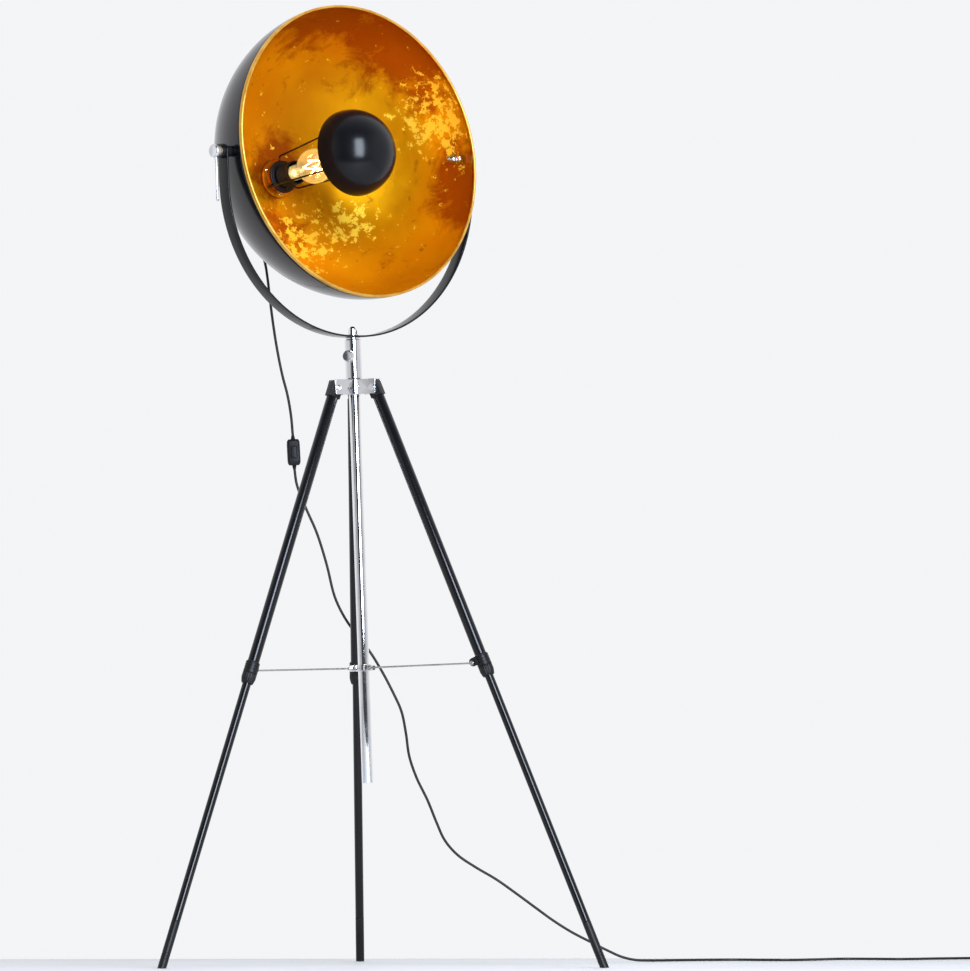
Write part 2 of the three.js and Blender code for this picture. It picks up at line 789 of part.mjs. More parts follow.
function addYoke(lift) {
  const swivel = frame(lift, "yoke_swivel", [0, 0, tiltHeight], [0, 0, YOKE_YAW]);
  add(swivel, "yoke", yokeStrip(), BLACK_PAINT);
  for (const [side, turn] of [["left", 180], ["right", 0]]) {
    const end = frame(swivel, `tilt_knob_${side}_turn`, [0, 0, 0], [0, 0, turn]);
    const spacer = tube(SPACER_R, PIVOT_BOLT_R + GAP, spacerIn, spacerIn + SPACER_LENGTH);
    add(end, `spacer_${side}`, alongX(spacer), BLACK_PLASTIC);
    add(end, `tilt_knob_${side}`, tiltKnob(TILT_KNOBS[side], side === "left"), CHROME);
  }
  return swivel;
}

// ---------------------------------------------------------------- dish and lamp

const DISH_SEGMENTS = 36;
const DISH_STEPS = 10;
const rimPlane = -PIVOT_SETBACK;
// How far the flats of a faceted bowl lie inside its true surface.
const facetSink = (radius, segments, steps) =>
  radius * (1 - Math.cos(Math.PI / segments) * Math.cos(Math.PI / 4 / steps));
const dishSink = facetSink(DISH_R, DISH_SEGMENTS, DISH_STEPS);

const flangeBack = rimPlane + bowlDepth(FLANGE_R, DISH_WALL) - dishSink - GAP;
const flangeFront = flangeBack - FLANGE;
const holderFront = flangeFront - HOLDER_LENGTH;
const ringFront = holderFront + SHADE_RING_BACK;
const socketFloor = holderFront + SOCKET_DEPTH;
const baseFront = socketFloor - GAP - BULB_BASE_LENGTH;
const glassEnd = baseFront - GAP;
const capCentre = rimPlane + CAP_BEHIND_RIM;
const apex = rimPlane + DISH_DEPTH;
const reliefTip = CORD_R + 1.2;
const glandEnd = apex + GAP + GLAND_LENGTH + RELIEF_LENGTH;

// Every profile here runs along the dish's axis, towards its back.
function dish() {
  const side = (sunk) => {
    const hole = THREE.MathUtils.radToDeg(Math.acos(CABLE_HOLE_R / (DISH_R - sunk)));
    const flat = (DISH_DEPTH - sunk) / (DISH_R - sunk);
    return arc(DISH_R - sunk, 0, 1, hole, DISH_STEPS).map(([r, z]) => [r, rimPlane + flat * z]);
  };
  const bead = [30, -15, -60, -105, -150, 165].map((angle) => [
    DISH_R - RIM_BEAD_R + RIM_BEAD_R * Math.cos(rad(angle)),
    rimPlane + RIM_BEAD_R * Math.sin(rad(angle)),
  ]);
  const outside = side(0).reverse();
  const inside = side(DISH_WALL);
  const shell = alongY(turned([...outside, ...bead, ...inside, outside[0]], DISH_SEGMENTS));
  return cut(shell, alongX(disc(PIVOT_BOLT_R + GAP, -2 * DISH_R, 2 * DISH_R, 16)));
}

function lampholder() {
  const socket = HOLDER_R - HOLDER_WALL;
  return alongY(
    turned([
      [0, flangeBack],
      [FLANGE_R, flangeBack],
      [FLANGE_R, flangeFront],
      [HOLDER_R, flangeFront],
      [HOLDER_R, holderFront],
      [socket, holderFront],
      [socket, socketFloor],
      [0, socketFloor],
    ]),
  );
}

function bulbGlass() {
  const front = glassEnd - BULB_GLASS_LENGTH;
  const centre = front + BULB_R;
  const shoulder = 48; // degrees from the bulb's middle to where the neck begins
  const neck = BULB_BASE_R;
  const neckStart = centre + 2 * BULB_R * Math.sin(rad(shoulder)) - neck / 2;
  return alongY(
    turned(
      [
        ...arc(BULB_R, centre, -90, shoulder, 6),
        [neck, neckStart],
        [neck, glassEnd],
        [neck - BULB_WALL, glassEnd],
        [neck - BULB_WALL, neckStart],
        ...arc(BULB_R - BULB_WALL, centre, shoulder, -90, 6),
      ],
      16,
    ),
  );
}

function bulbStem() {
  const tip = glassEnd - BULB_GLASS_LENGTH + BULB_R;
  return alongY(
    turned(
      [
        [0, glassEnd],
        [BULB_BASE_R / 2, glassEnd],
        [STEM_R, glassEnd - 2 * STEM_R],
        [STEM_R, tip],
        [0, tip - STEM_R],
      ],
      12,
    ),
  );
}

function glareCap() {
  const inside = CAP_R - CAP_WALL;
  return alongY(
    turned(
      [
        ...arc(CAP_R, capCentre, -90, 0, CAP_STEPS),
        ...arc(inside, capCentre, 0, -90, CAP_STEPS),
      ],
      CAP_SEGMENTS,
    ),
  );
}

// A rod is clamped behind the shade ring by its bent foot and runs out to the inside of the cap.
function capRod() {
  const inside = CAP_R - CAP_WALL;
  const reach = CAP_R - CAP_ROD_INSET;
  const wall = Math.sqrt(inside ** 2 - (reach + CAP_ROD_R) ** 2);
  const end = capCentre - wall + facetSink(inside, CAP_SEGMENTS, CAP_STEPS) + GAP;
  const foot = ringFront + SHADE_RING + GAP + CAP_ROD_R;
  const bend = 5;
  const heel = CAP_ROD_HEEL;
  return bar(
    smooth([
      [HOLDER_R + GAP, foot, 0],
      [heel - bend, foot, 0],
      [heel - bend / 4, foot - bend / 4, 0],
      [heel, foot - bend, 0],
      [heel + 0.5, foot - 3 * bend, 0],
      [(heel + reach) / 2, (foot + end) / 2, 0],
      [reach, end, 0],
    ]),
    CAP_ROD_R,
    22,
    6,
  );
}

function gland() {
  return alongY(
    turned(
      [
        [0, flangeBack + GAP],
        [CABLE_HOLE_R - GAP, flangeBack + GAP],
        [CABLE_HOLE_R - GAP, apex + GAP],
        [GLAND_R, apex + GAP],
        [GLAND_R, apex + GAP + GLAND_LENGTH],
        [RELIEF_R, apex + GAP + GLAND_LENGTH],
        [reliefTip, glandEnd],
        [0, glandEnd],
      ],
      20,
    ),
  );
}

function addHead(swivel) {
  const head = frame(swivel, "dish_tilt", [0, 0, 0], [-DISH_TILT, 0, 0]);
  add(head, "dish", dish(), GOLD_LEAF);
  for (const [side, turn] of [["left", Math.PI], ["right", 0]]) {
    const inner = pivotCircle - PIVOT_BOLT_INSIDE;
    const bolt = alongX(disc(PIVOT_BOLT_R, inner, knobIn + TILT_KNOBS[side].bolt, 16));
    add(head, `pivot_bolt_${side}`, bolt.rotateZ(turn), CHROME);
    add(head, `pivot_nut_${side}`, pivotNut().rotateZ(turn), CHROME);
  }
  add(head, "lampholder", lampholder(), BLACK_PLASTIC);
  const bore = HOLDER_R + GAP;
  const ring = tube(bore + SHADE_RING_WALL, bore, ringFront, ringFront + SHADE_RING);
  add(head, "holder_ring", alongY(ring), BLACK_PLASTIC);
  add(
    head,
    "bulb_base",
    alongY(disc(BULB_BASE_R, baseFront, socketFloor - GAP, 20)),
    BRASS,
  );
  add(head, "bulb_glass", bulbGlass(), GLASS);
  add(head, "bulb_stem", bulbStem(), GLASS);
  add(head, "glare_cap", glareCap(), BLACK_PAINT);
  [90, 210, 330].forEach((angle, i) => {
    add(head, `cap_rod_${i + 1}`, capRod().rotateY(-rad(angle)), BLACK_PAINT);
  });
  add(head, "cord_gland", gland(), BLACK_PLASTIC);
}

// ---------------------------------------------------------------- cord

const cordDrop = smooth(CORD_DROP);
const cordFall = smooth(CORD_FALL);
const coilOuter = COIL_TURN_R + COIL_ROWS * CORD_R;
const coilInner = COIL_TURN_R - COIL_ROWS * CORD_R;
const coilHeight = 2 * CORD_R * COIL_LAYERS;

// The switch hangs in the cord, from the end of its first stretch to the start of the second.
function addSwitch() {
  const top = cordDrop.getPoint(1);
  const bottom = cordFall.getPoint(0);
  const length = top.distanceTo(bottom) - 2 * GAP;
  const group = frame(part, "switch");
  group.position.copy(top).lerp(bottom, 0.5);
  const along = new THREE.Vector3().subVectors(top, bottom).normalize();
  const side = new THREE.Vector3(0, 1, 0).cross(along).normalize();
  const back = new THREE.Vector3().crossVectors(along, side);
  group.quaternion.setFromRotationMatrix(new THREE.Matrix4().makeBasis(side, back, along));
  const half = length / 2;
  const deep = SWITCH_DEPTH / 2;
  const wide = SWITCH_WIDTH / 2;
  const body = box(-wide, wide, -deep, deep, -half, half);
  const well = box(
    -ROCKER_WIDTH / 2 - GAP,
    ROCKER_WIDTH / 2 + GAP,
    -2 * deep,
    ROCKER_DEPTH - deep,
    -ROCKER_LENGTH / 2 - ROCKER_END_GAP,
    ROCKER_LENGTH / 2 + ROCKER_END_GAP,
  );
  add(group, "switch_case", cut(body, well), BLACK_PLASTIC);
  const hinge = frame(group, "rocker_press", [0, -deep, 0], [-ROCKER_TILT, 0, 0]);
  const rocker = box(
    -ROCKER_WIDTH / 2,
    ROCKER_WIDTH / 2,
    -ROCKER_PROUD,
    ROCKER_DEPTH - ROCKER_PROUD,
    -ROCKER_LENGTH / 2,
    ROCKER_LENGTH / 2,
  );
  add(hinge, "switch_rocker", rocker, BLACK_PLASTIC);
}

function plug() {
  const half = PLUG_WIDTH / 2;
  const tail = RELIEF_R;
  const outline = new THREE.Shape();
  outline.moveTo(-tail, 0);
  outline.lineTo(tail, 0);
  outline.lineTo(half, PLUG_LENGTH - half);
  outline.lineTo(half, PLUG_LENGTH);
  outline.lineTo(-half, PLUG_LENGTH);
  outline.lineTo(-half, PLUG_LENGTH - half);
  const body = new THREE.ExtrudeGeometry(outline, { depth: PLUG_HEIGHT, bevelEnabled: false });
  const pins = [-1, 1].map((side) =>
    alongY(disc(PIN_R, PLUG_LENGTH - WELD, PLUG_LENGTH + PIN_LENGTH, 10)).translate(
      (side * PIN_SPACING) / 2,
      0,
      PLUG_HEIGHT / 2,
    ),
  );
  const relief = turned(
    [
      [0, -PLUG_RELIEF],
      [reliefTip, -PLUG_RELIEF],
      [RELIEF_R, WELD],
      [0, WELD],
    ],
    16,
  );
  return join(body, alongY(relief).translate(0, 0, PLUG_HEIGHT / 2), ...pins);
}

function addCord() {
  add(part, "cord_drop", bar(cordDrop, CORD_R, CORD_DROP_STEPS), CORD_BLACK);
  add(part, "cord_fall", bar(cordFall, CORD_R, CORD_FALL_STEPS), CORD_BLACK);
  addSwitch();
  const coil = frame(part, "coil", [...COIL_CENTRE, 0]);
  add(coil, "cord_coil", tube(coilOuter, coilInner, 0, coilHeight), CORD_BLACK);
  const place = frame(coil, "plug", [0, 0, 0], [0, 0, PLUG_ANGLE]);
  // The plug lies on the line on which the outermost turn leaves the coil.
  const line = COIL_TURN_R + CORD_R;
  const tail = Math.sqrt(coilOuter ** 2 - (line - reliefTip) ** 2) + GAP + PLUG_RELIEF;
  add(place, "plug", plug().translate(-line, tail, 0), BLACK_PLASTIC);
}

// ---------------------------------------------------------------- assembly

LEGS.forEach(addLeg);
addSpreader();
addHead(addYoke(addColumn()));

// The lamp itself stands with its box centred on the origin.
const bounds = new THREE.Box3().setFromObject(lamp, true);
const middle = bounds.getCenter(new THREE.Vector3());
lamp.position.set(-middle.x, -middle.y, 0);
addCord();

export default part;
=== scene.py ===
# The looks of a tripod floor lamp. Sub-parts are drawn in millimetres in the frames of their joints,
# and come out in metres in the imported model's own frame.
import json
import math
from itertools import pairwise

import bmesh
import bpy
from mathutils import Matrix, Vector


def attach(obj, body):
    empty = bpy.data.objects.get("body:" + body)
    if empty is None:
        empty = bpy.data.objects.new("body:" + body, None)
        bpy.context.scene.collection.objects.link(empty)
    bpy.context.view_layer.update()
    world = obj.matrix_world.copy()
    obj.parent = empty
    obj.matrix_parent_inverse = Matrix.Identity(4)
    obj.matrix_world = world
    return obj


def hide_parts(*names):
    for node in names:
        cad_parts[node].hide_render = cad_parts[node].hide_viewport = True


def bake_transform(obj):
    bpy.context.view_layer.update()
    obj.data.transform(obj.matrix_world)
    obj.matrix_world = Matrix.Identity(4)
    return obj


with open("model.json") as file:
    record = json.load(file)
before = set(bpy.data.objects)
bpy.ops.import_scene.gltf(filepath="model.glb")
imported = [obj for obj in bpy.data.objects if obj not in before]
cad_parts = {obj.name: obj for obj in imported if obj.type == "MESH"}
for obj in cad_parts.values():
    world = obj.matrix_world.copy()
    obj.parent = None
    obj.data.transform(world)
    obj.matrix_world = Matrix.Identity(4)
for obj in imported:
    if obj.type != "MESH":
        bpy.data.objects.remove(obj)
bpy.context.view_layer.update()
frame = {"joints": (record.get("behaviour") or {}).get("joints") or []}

MM = 0.001
SIDES = ("left", "right", "back")

# ---------------------------------------------------------------- camera

CAMERA_PLACE = (-0.7545, -13.4937, 0.2442)
CAMERA_TURN = 4.0  # degrees from +Y towards +X
CAMERA_PITCH = 2.386  # degrees upwards
CAMERA_SENSOR, CAMERA_LENS = 36.0, 297.1  # in millimetres


def add_camera():
    data = bpy.data.cameras.new("camera")
    data.sensor_width = CAMERA_SENSOR
    data.lens = CAMERA_LENS
    data.clip_end = 100
    camera = bpy.data.objects.new("camera", data)
    camera.location = CAMERA_PLACE
    camera.rotation_euler = (math.radians(90 + CAMERA_PITCH), 0, -math.radians(CAMERA_TURN))
    bpy.context.scene.collection.objects.link(camera)
    bpy.context.scene.camera = camera


# ---------------------------------------------------------------- materials


def add_node(tree, kind, inputs=None, **settings):
    """A shader node. An input is a number or colour, or the socket that feeds it."""
    made = tree.nodes.new(kind)
    for key, value in settings.items():
        setattr(made, key, value)
    for key, value in (inputs or {}).items():
        if isinstance(value, bpy.types.NodeSocket):
            tree.links.new(value, made.inputs[key])
        else:
            made.inputs[key].default_value = value
    return made


def new_material(name, **sockets):
    """A material, and its principled shader with these values on its sockets."""
    made = bpy.data.materials.new(name)
    made.use_nodes = True
    shader = made.node_tree.nodes["Principled BSDF"]
    for key, value in sockets.items():
        shader.inputs[key.replace("_", " ")].default_value = value
    return made, made.node_tree, shader


def noise(tree, scale, detail=3.0, roughness=0.5, stretch=(1, 1, 1), distortion=0.0):
    """Noise over the piece's own coordinates, in metres."""
    place = add_node(tree, "ShaderNodeTexCoord").outputs["Object"]
    spread = add_node(tree, "ShaderNodeMapping", {"Vector": place, "Scale": stretch})
    inputs = {
        "Vector": spread.outputs["Vector"],
        "Scale": scale,
        "Detail": detail,
        "Roughness": roughness,
        "Distortion": distortion,
    }
    return add_node(tree, "ShaderNodeTexNoise", inputs).outputs["Fac"]


def ramp(tree, factor, *stops):
    """Colours at places along a factor."""
    made = add_node(tree, "ShaderNodeValToRGB", {"Fac": factor})
    elements = made.color_ramp.elements
    while len(elements) < len(stops):
        elements.new(0.5)
    for element, (at, colour) in zip(elements, stops):
        element.position = at
        element.color = (*colour, 1) if len(colour) == 3 else colour
    return made.outputs["Color"]


def span(tree, factor, low, high, start=0.3, end=0.7):
    """A factor as a number from low to high, while the factor goes from start to end."""
    inputs = {"Value": factor, "From Min": start, "From Max": end, "To Min": low, "To Max": high}
    return add_node(tree, "ShaderNodeMapRange", inputs).outputs["Result"]


def mix(tree, factor, first, second):
    made = add_node(tree, "ShaderNodeMix", data_type="RGBA")
    for socket, value in zip((made.inputs[0], made.inputs[6], made.inputs[7]), (factor, first, second)):
        if isinstance(value, bpy.types.NodeSocket):
            tree.links.new(value, socket)
        else:
            socket.default_value = value
    return made.outputs[2]


def maths(tree, operation, *values):
    return add_node(tree, "ShaderNodeMath", dict(enumerate(values)), operation=operation).outputs[0]


def bump(tree, shader, height, strength, distance):
    inputs = {"Height": height, "Strength": strength, "Distance": distance}
    made = add_node(tree, "ShaderNodeBump", inputs)
    tree.links.new(made.outputs["Normal"], shader.inputs["Normal"])


def surface(name, colours, roughness, patch, grain, relief, stretch=(1, 1, 1), **sockets):
    """A finish whose colour and roughness drift in patches, with a fine grain in relief."""
    made, tree, shader = new_material(name, **sockets)
    drift = noise(tree, patch, 4.0, 0.6)
    low, high = colours
    tree.links.new(ramp(tree, drift, (0.35, low), (0.65, high)), shader.inputs["Base Color"])
    wear = noise(tree, patch * 3.7, 5.0, 0.65, stretch)
    tree.links.new(span(tree, wear, *roughness), shader.inputs["Roughness"])
    bump(tree, shader, noise(tree, grain, 3.0, 0.6, stretch), 0.35, relief)
    return made


# Where the leaf is most broken, and where painted shade darkens it round the holder and at the top and right
# of the rim, in the dish's frame in millimetres: across, behind the pivots and up, with the radius of the
# patch.
BRIGHT_PATCHES = (((225, 20, 75), 120), ((20, 165, -110), 100), ((110, 160, -90), 80))
PAINTED_SHADE_PATCHES = (
    ((0, 195, 20), 95),
    ((-30, 170, -90), 80),
    ((150, 0, 200), 160),
    ((0, 20, 240), 130),
    ((240, 0, -40), 100),
)


BOWL_MIDDLE = (0, 196, 0)
# Painted shade: the leaf darkens between these distances from the bowl's middle, towards the rim.
SHADE_FROM, SHADE_FULL = 0.25, 0.345  # metres from the bowl's middle, towards the rim


def away_from(tree, middle):
    """How far a point of the surface is from a place in the dish's frame, in metres."""
    place = add_node(tree, "ShaderNodeTexCoord").outputs["Object"]
    inputs = {0: place, 1: HEAD @ Vector(middle)}
    return add_node(tree, "ShaderNodeVectorMath", inputs, operation="DISTANCE").outputs["Value"]


def near(tree, patches):
    """1 in the middle of any of the patches, falling to 0 at its radius."""
    total = 0.0
    for middle, radius in patches:
        share = span(tree, away_from(tree, middle), 1.0, 0.0, 0.25 * radius * MM, radius * MM)
        total = maths(tree, "MAXIMUM", share, total)
    return total


def weighed(tree, factor, other, weight):
    """The factor with a share of the other added."""
    return maths(tree, "MULTIPLY_ADD", other, weight, factor)


def gold_leaf():
    """Leaf laid in torn patches: deep orange, with bright flakes and brown clouds, and painted shade round
    the holder and towards the rim.
    """
    made, tree, shader = new_material("gold_leaf", Metallic=0.7, Specular_IOR_Level=0.1)
    base = ramp(
        tree,
        noise(tree, 6.0, 3.0, 0.55),
        (0.3, (0.55, 0.195, 0.001)),
        (0.5, (0.64, 0.265, 0.001)),
        (0.7, (0.73, 0.35, 0.002)),
    )
    # Brown mottling, deepened by painted shade in the patches round the holder and at the rim.
    mottle_and_shade = weighed(tree, noise(tree, 17.0, 6.0, 0.68, (1, 1, 1), 0.4), near(tree, PAINTED_SHADE_PATCHES), 0.3)
    # Painted shade: the leaf darkens towards the rim.
    outwards = span(tree, away_from(tree, BOWL_MIDDLE), 0.0, 1.0, SHADE_FROM, SHADE_FULL)
    mottle_and_shade = weighed(tree, mottle_and_shade, outwards, 0.11)
    # The brown of the mottling and of the painted shade.
    colour = mix(tree, span(tree, mottle_and_shade, 0.0, 0.85, 0.6, 0.78), base, (0.27, 0.04, 0.001, 1))
    specks = noise(tree, 45.0, 5.0, 0.7, (1, 1, 1), 0.3)
    colour = mix(tree, span(tree, specks, 0.0, 0.5, 0.63, 0.68), colour, (0.2, 0.05, 0.004, 1))
    torn = noise(tree, 62.0, 7.0, 0.72, (1, 1, 1), 0.1)
    flakes = weighed(tree, torn, near(tree, BRIGHT_PATCHES), 0.16)
    colour = mix(tree, span(tree, flakes, 0.0, 0.9, 0.64, 0.67), colour, (1.0, 0.74, 0.06, 1))
    tree.links.new(colour, shader.inputs["Base Color"])
    tree.links.new(span(tree, torn, 0.3, 0.5), shader.inputs["Roughness"])
    bump(tree, shader, noise(tree, 85.0, 6.0, 0.7, (1, 1, 1), 0.6), 0.35, 0.0008)
    return made


def bulb_glass():
    made, tree, shader = new_material(
        "bulb_glass",
        Base_Color=(1, 0.98, 0.94, 1),
        Transmission_Weight=1.0,
        IOR=1.45,
        Emission_Color=(1.0, 0.72, 0.26, 1),
        Emission_Strength=0.1,
    )
    streaks = noise(tree, 60.0, 2.0, 0.5)
    tree.links.new(span(tree, streaks, 0.0, 0.03), shader.inputs["Roughness"])
    bump(tree, shader, streaks, 0.05, 0.0005)
    return made


def glowing(name, colour, strength):
    made, tree, shader = new_material(name, Emission_Strength=strength)
    heat = ramp(tree, noise(tree, 200.0), (0.2, tuple(0.85 * c for c in colour)), (0.8, colour))
    tree.links.new(heat, shader.inputs["Emission Color"])
    tree.links.new(heat, shader.inputs["Base Color"])
    return made


BLACKS = ((0.003, 0.0031, 0.004), (0.005, 0.0052, 0.0065))
DULL_BLACKS = ((0.003, 0.003, 0.0033), (0.006, 0.006, 0.0065))
SILVERS = ((0.72, 0.725, 0.74), (0.84, 0.845, 0.86))
STEELS = ((0.4, 0.39, 0.37), (0.56, 0.55, 0.53))
BRASSES = ((0.52, 0.36, 0.13), (0.72, 0.52, 0.22))
GOLDS = ((0.62, 0.3, 0.035), (0.85, 0.5, 0.1))
WHITES = ((0.7, 0.68, 0.63), (0.8, 0.78, 0.74))

# Each finish's name, colours, roughness, scale of its patches and of its grain, and relief in metres.
BLACK_PAINT = surface("black_paint", BLACKS, (0.15, 0.2), 9, 900, 0.000003, Specular_IOR_Level=0.35)
SHADE_PAINT = surface("shade_paint", BLACKS, (0.14, 0.2), 6, 700, 0.000015, Specular_IOR_Level=0.35)
CAP_PAINT = surface("cap_paint", BLACKS, (0.2, 0.24), 8, 700, 0.00002, Specular_IOR_Level=0.25)
BLACK_PLASTIC = surface("black_plastic", DULL_BLACKS, (0.38, 0.5), 25, 1600, 0.00005, Specular_IOR_Level=0.3)
CHROME = surface("chrome", SILVERS, (0.04, 0.1), 12, 300, 0.000002, Metallic=1.0)
KNOB_CHROME = surface("knob_chrome", SILVERS, (0.14, 0.24), 40, 900, 0.00003, Metallic=1.0)
STEEL = surface("steel", STEELS, (0.2, 0.34), 60, 900, 0.00004, Metallic=1.0)
BRASS = surface("brass", BRASSES, (0.22, 0.36), 50, 700, 0.00005, Metallic=1.0)
CORD_SKIN = surface("cord_skin", DULL_BLACKS, (0.42, 0.58), 30, 1200, 0.00004, (1, 1, 0.3))
RIM_GOLD = surface("rim_gold", GOLDS, (0.25, 0.4), 30, 500, 0.0001, Metallic=0.8)
HOLDER_BLACK = surface("holder_black", BLACKS, (0.4, 0.5), 40, 1400, 0.00004, Specular_IOR_Level=0.2)
CERAMIC = surface("ceramic", WHITES, (0.3, 0.45), 40, 600, 0.00005)
BULB_GLASS = bulb_glass()
FILAMENT = glowing("filament", (1.0, 0.72, 0.32), 22.0)

# ---------------------------------------------------------------- shapes, in millimetres


def fillet(points, radius, closed=False, steps=3):
    """The points with each corner that turns sharply rounded off."""
    out = [] if closed else [points[0]]
    count = len(points)
    for i in range(count) if closed else range(1, count - 1):
        a, b, c = (Vector(points[(i + k) % count]) for k in (-1, 0, 1))
        before, after = a - b, c - b
        if before.length < 1e-6 or after.length < 1e-6 or before.angle(after) > math.radians(150):
            out.append(tuple(b))
            continue
        reach = min(radius, before.length / 2.2, after.length / 2.2)
        start, end = b + before.normalized() * reach, b + after.normalized() * reach
        for k in range(steps + 1):
            t = k / steps
            out.append(tuple(start * (1 - t) ** 2 + b * 2 * t * (1 - t) + end * t**2))
    if not closed:
        out.append(points[-1])
    return out


def arc(radius, centre, start, end, steps):
    """Points of a circle about (0, centre) as (radius, height), the angles in degrees."""
    angles = [math.radians(start + (end - start) * i / steps) for i in range(steps + 1)]
    return [(radius * math.cos(a), centre + radius * math.sin(a)) for a in angles]


class Shape:
    """Closed surfaces gathered in one frame, which become one piece."""

    def __init__(self):
        self.mesh = bmesh.new()

    def grid(self, rings, material=0, turn=None, loop=True, ends=True):
        """Joins rings of points, each all round; a ring of one point is a tip.

        Without loop the last ring joins the first. The material may depend on the ring.
        """
        rows = [[self.mesh.verts.new((turn @ Vector(p)) if turn else p) for p in r] for r in rings]
        materials = material if callable(material) else (lambda _: material)
        pairs = list(pairwise(rows)) + ([(rows[-1], rows[0])] if not loop else [])
        for k, (low, high) in enumerate(pairs):
            n = max(len(low), len(high))
            for i in range(n):
                j = (i + 1) % n
                corners = [low[i % len(low)], low[j % len(low)], high[j % len(high)], high[i % len(high)]]
                corners = list(dict.fromkeys(corners))
                if len(corners) > 2:
                    self.mesh.faces.new(corners).material_index = materials(k)
        if loop and ends:
            for row, k in ((rows[0], 0), (rows[-1], len(pairs) - 1)):
                if len(row) > 2:
                    self.mesh.faces.new(row).material_index = materials(k)

    def lathe(self, profile, segments=64, turn=None, material=0, ring=False):
        """A profile of (radius, height) points turned about Z; a ring's profile closes."""
        rings = []
        for r, z in profile:
            if r < 1e-6:
                rings.append([(0, 0, z)])
                continue
            angles = (2 * math.pi * i / segments for i in range(segments))
            rings.append([(r * math.cos(a), r * math.sin(a), z) for a in angles])
        self.grid(rings, material, turn, loop=not ring)

    def prism(self, outline, low, high, edge=0.5, turn=None, material=0, steps=3):
        """An outline in XY extruded along Z, with its rims rounded."""
        shrunk = [inset(outline, edge * (1 - math.sin(math.pi / 2 * k / steps))) for k in range(steps + 1)]
        rise = [edge * (1 - math.cos(math.pi / 2 * k / steps)) for k in range(steps + 1)]
        rings = [[(x, y, low + h) for x, y in s] for s, h in zip(shrunk, rise)]
        rings += [[(x, y, high - h) for x, y in s] for s, h in reversed(list(zip(shrunk, rise)))]
        self.grid(rings, material, turn)

    def sweep(self, line, section, up=(0, 0, 1), turn=None, material=0, scale=None):
        """A section carried along a line; scale gives each place's own factors of the section."""
        self.grid(swept(line, section, up, scale), material, turn)

    def made(self, name, place, materials, sharp=35):
        """The gathered surfaces as an object; edges that turn more than sharp stay crisp."""
        bmesh.ops.transform(self.mesh, matrix=place, verts=self.mesh.verts)
        bmesh.ops.recalc_face_normals(self.mesh, faces=self.mesh.faces)
        for edge in self.mesh.edges:
            edge.smooth = edge.calc_face_angle(0) < math.radians(sharp)
        for face in self.mesh.faces:
            face.smooth = True
        data = bpy.data.meshes.new(name)
        self.mesh.to_mesh(data)
        self.mesh.free()
        for made in materials:
            data.materials.append(made)
        piece = bpy.data.objects.new(name, data)
        bpy.context.scene.collection.objects.link(piece)
        return piece


def inset(outline, distance):
    """A convex or gently curved outline moved inwards."""
    if distance < 1e-9:
        return list(outline)
    count = len(outline)
    area = sum(a[0] * b[1] - b[0] * a[1] for a, b in zip(outline, [*outline[1:], outline[0]]))
    way = 1 if area > 0 else -1
    moved = []
    for i in range(count):
        a, b, c = (Vector(outline[(i + k) % count]).to_2d() for k in (-1, 0, 1))
        before, after = (b - a).normalized(), (c - b).normalized()
        normal = Vector((-before.y - after.y, before.x + after.x)) * way
        if normal.length < 1e-9:
            moved.append(tuple(b))
            continue
        normal.normalize()
        side = Vector((-before.y, before.x)) * way
        moved.append(tuple(b + normal * distance / max(0.5, normal.dot(side))))
    return moved


def swept(line, section, up=(0, 0, 1), scale=None):
    """Rings of the section along a line, turned as little as possible from one to the next."""
    points = [Vector(p) for p in line]
    rings = []
    side = None
    for i, point in enumerate(points):
        before, after = points[max(i - 1, 0)], points[min(i + 1, len(points) - 1)]
        along = (after - before).normalized()
        if side is None:
            side = Vector(up).cross(along)
            if side.length < 1e-6:
                side = Vector((1, 0, 0)).cross(along)
        side = (side - along * side.dot(along)).normalized()
        other = along.cross(side)
        sx, sy = scale[i] if scale else (1, 1)
        rings.append([tuple(point + side * x * sx + other * y * sy) for x, y in section])
    return rings


def rounded_box(width, height, radius, steps=3):
    w, h = width / 2, height / 2
    return fillet([(-w, -h), (w, -h), (w, h), (-w, h)], radius, closed=True, steps=steps)


def polygon(radius, sides):
    angles = (2 * math.pi * i / sides for i in range(sides))
    return [(radius * math.cos(a), radius * math.sin(a)) for a in angles]


def hexagon(radius, per_side=6):
    """A hexagon with points along its sides."""
    corners = polygon(radius, 6)
    sides = pairwise([*corners, corners[0]])
    return [tuple(Vector(a).lerp(Vector(b), k / per_side)) for a, b in sides for k in range(per_side)]


def circled(outline, radius):
    """The outline's points moved straight out or in to a circle."""
    return [tuple(Vector(p).normalized() * radius) for p in outline]


def levelled(outline, levels):
    """The outline as rings at heights, each with its own scale."""
    return [[(x * k, y * k, z) for x, y in outline] for z, k in levels]


def fluted(radius, depth, ribs, per_rib=4):
    """The outline of a grip with shallow ribs all round."""
    count = ribs * per_rib
    out = []
    for i in range(count):
        angle = 2 * math.pi * i / count
        r = radius - depth * (0.5 - 0.5 * math.cos(ribs * angle))
        out.append((r * math.cos(angle), r * math.sin(angle)))
    return out


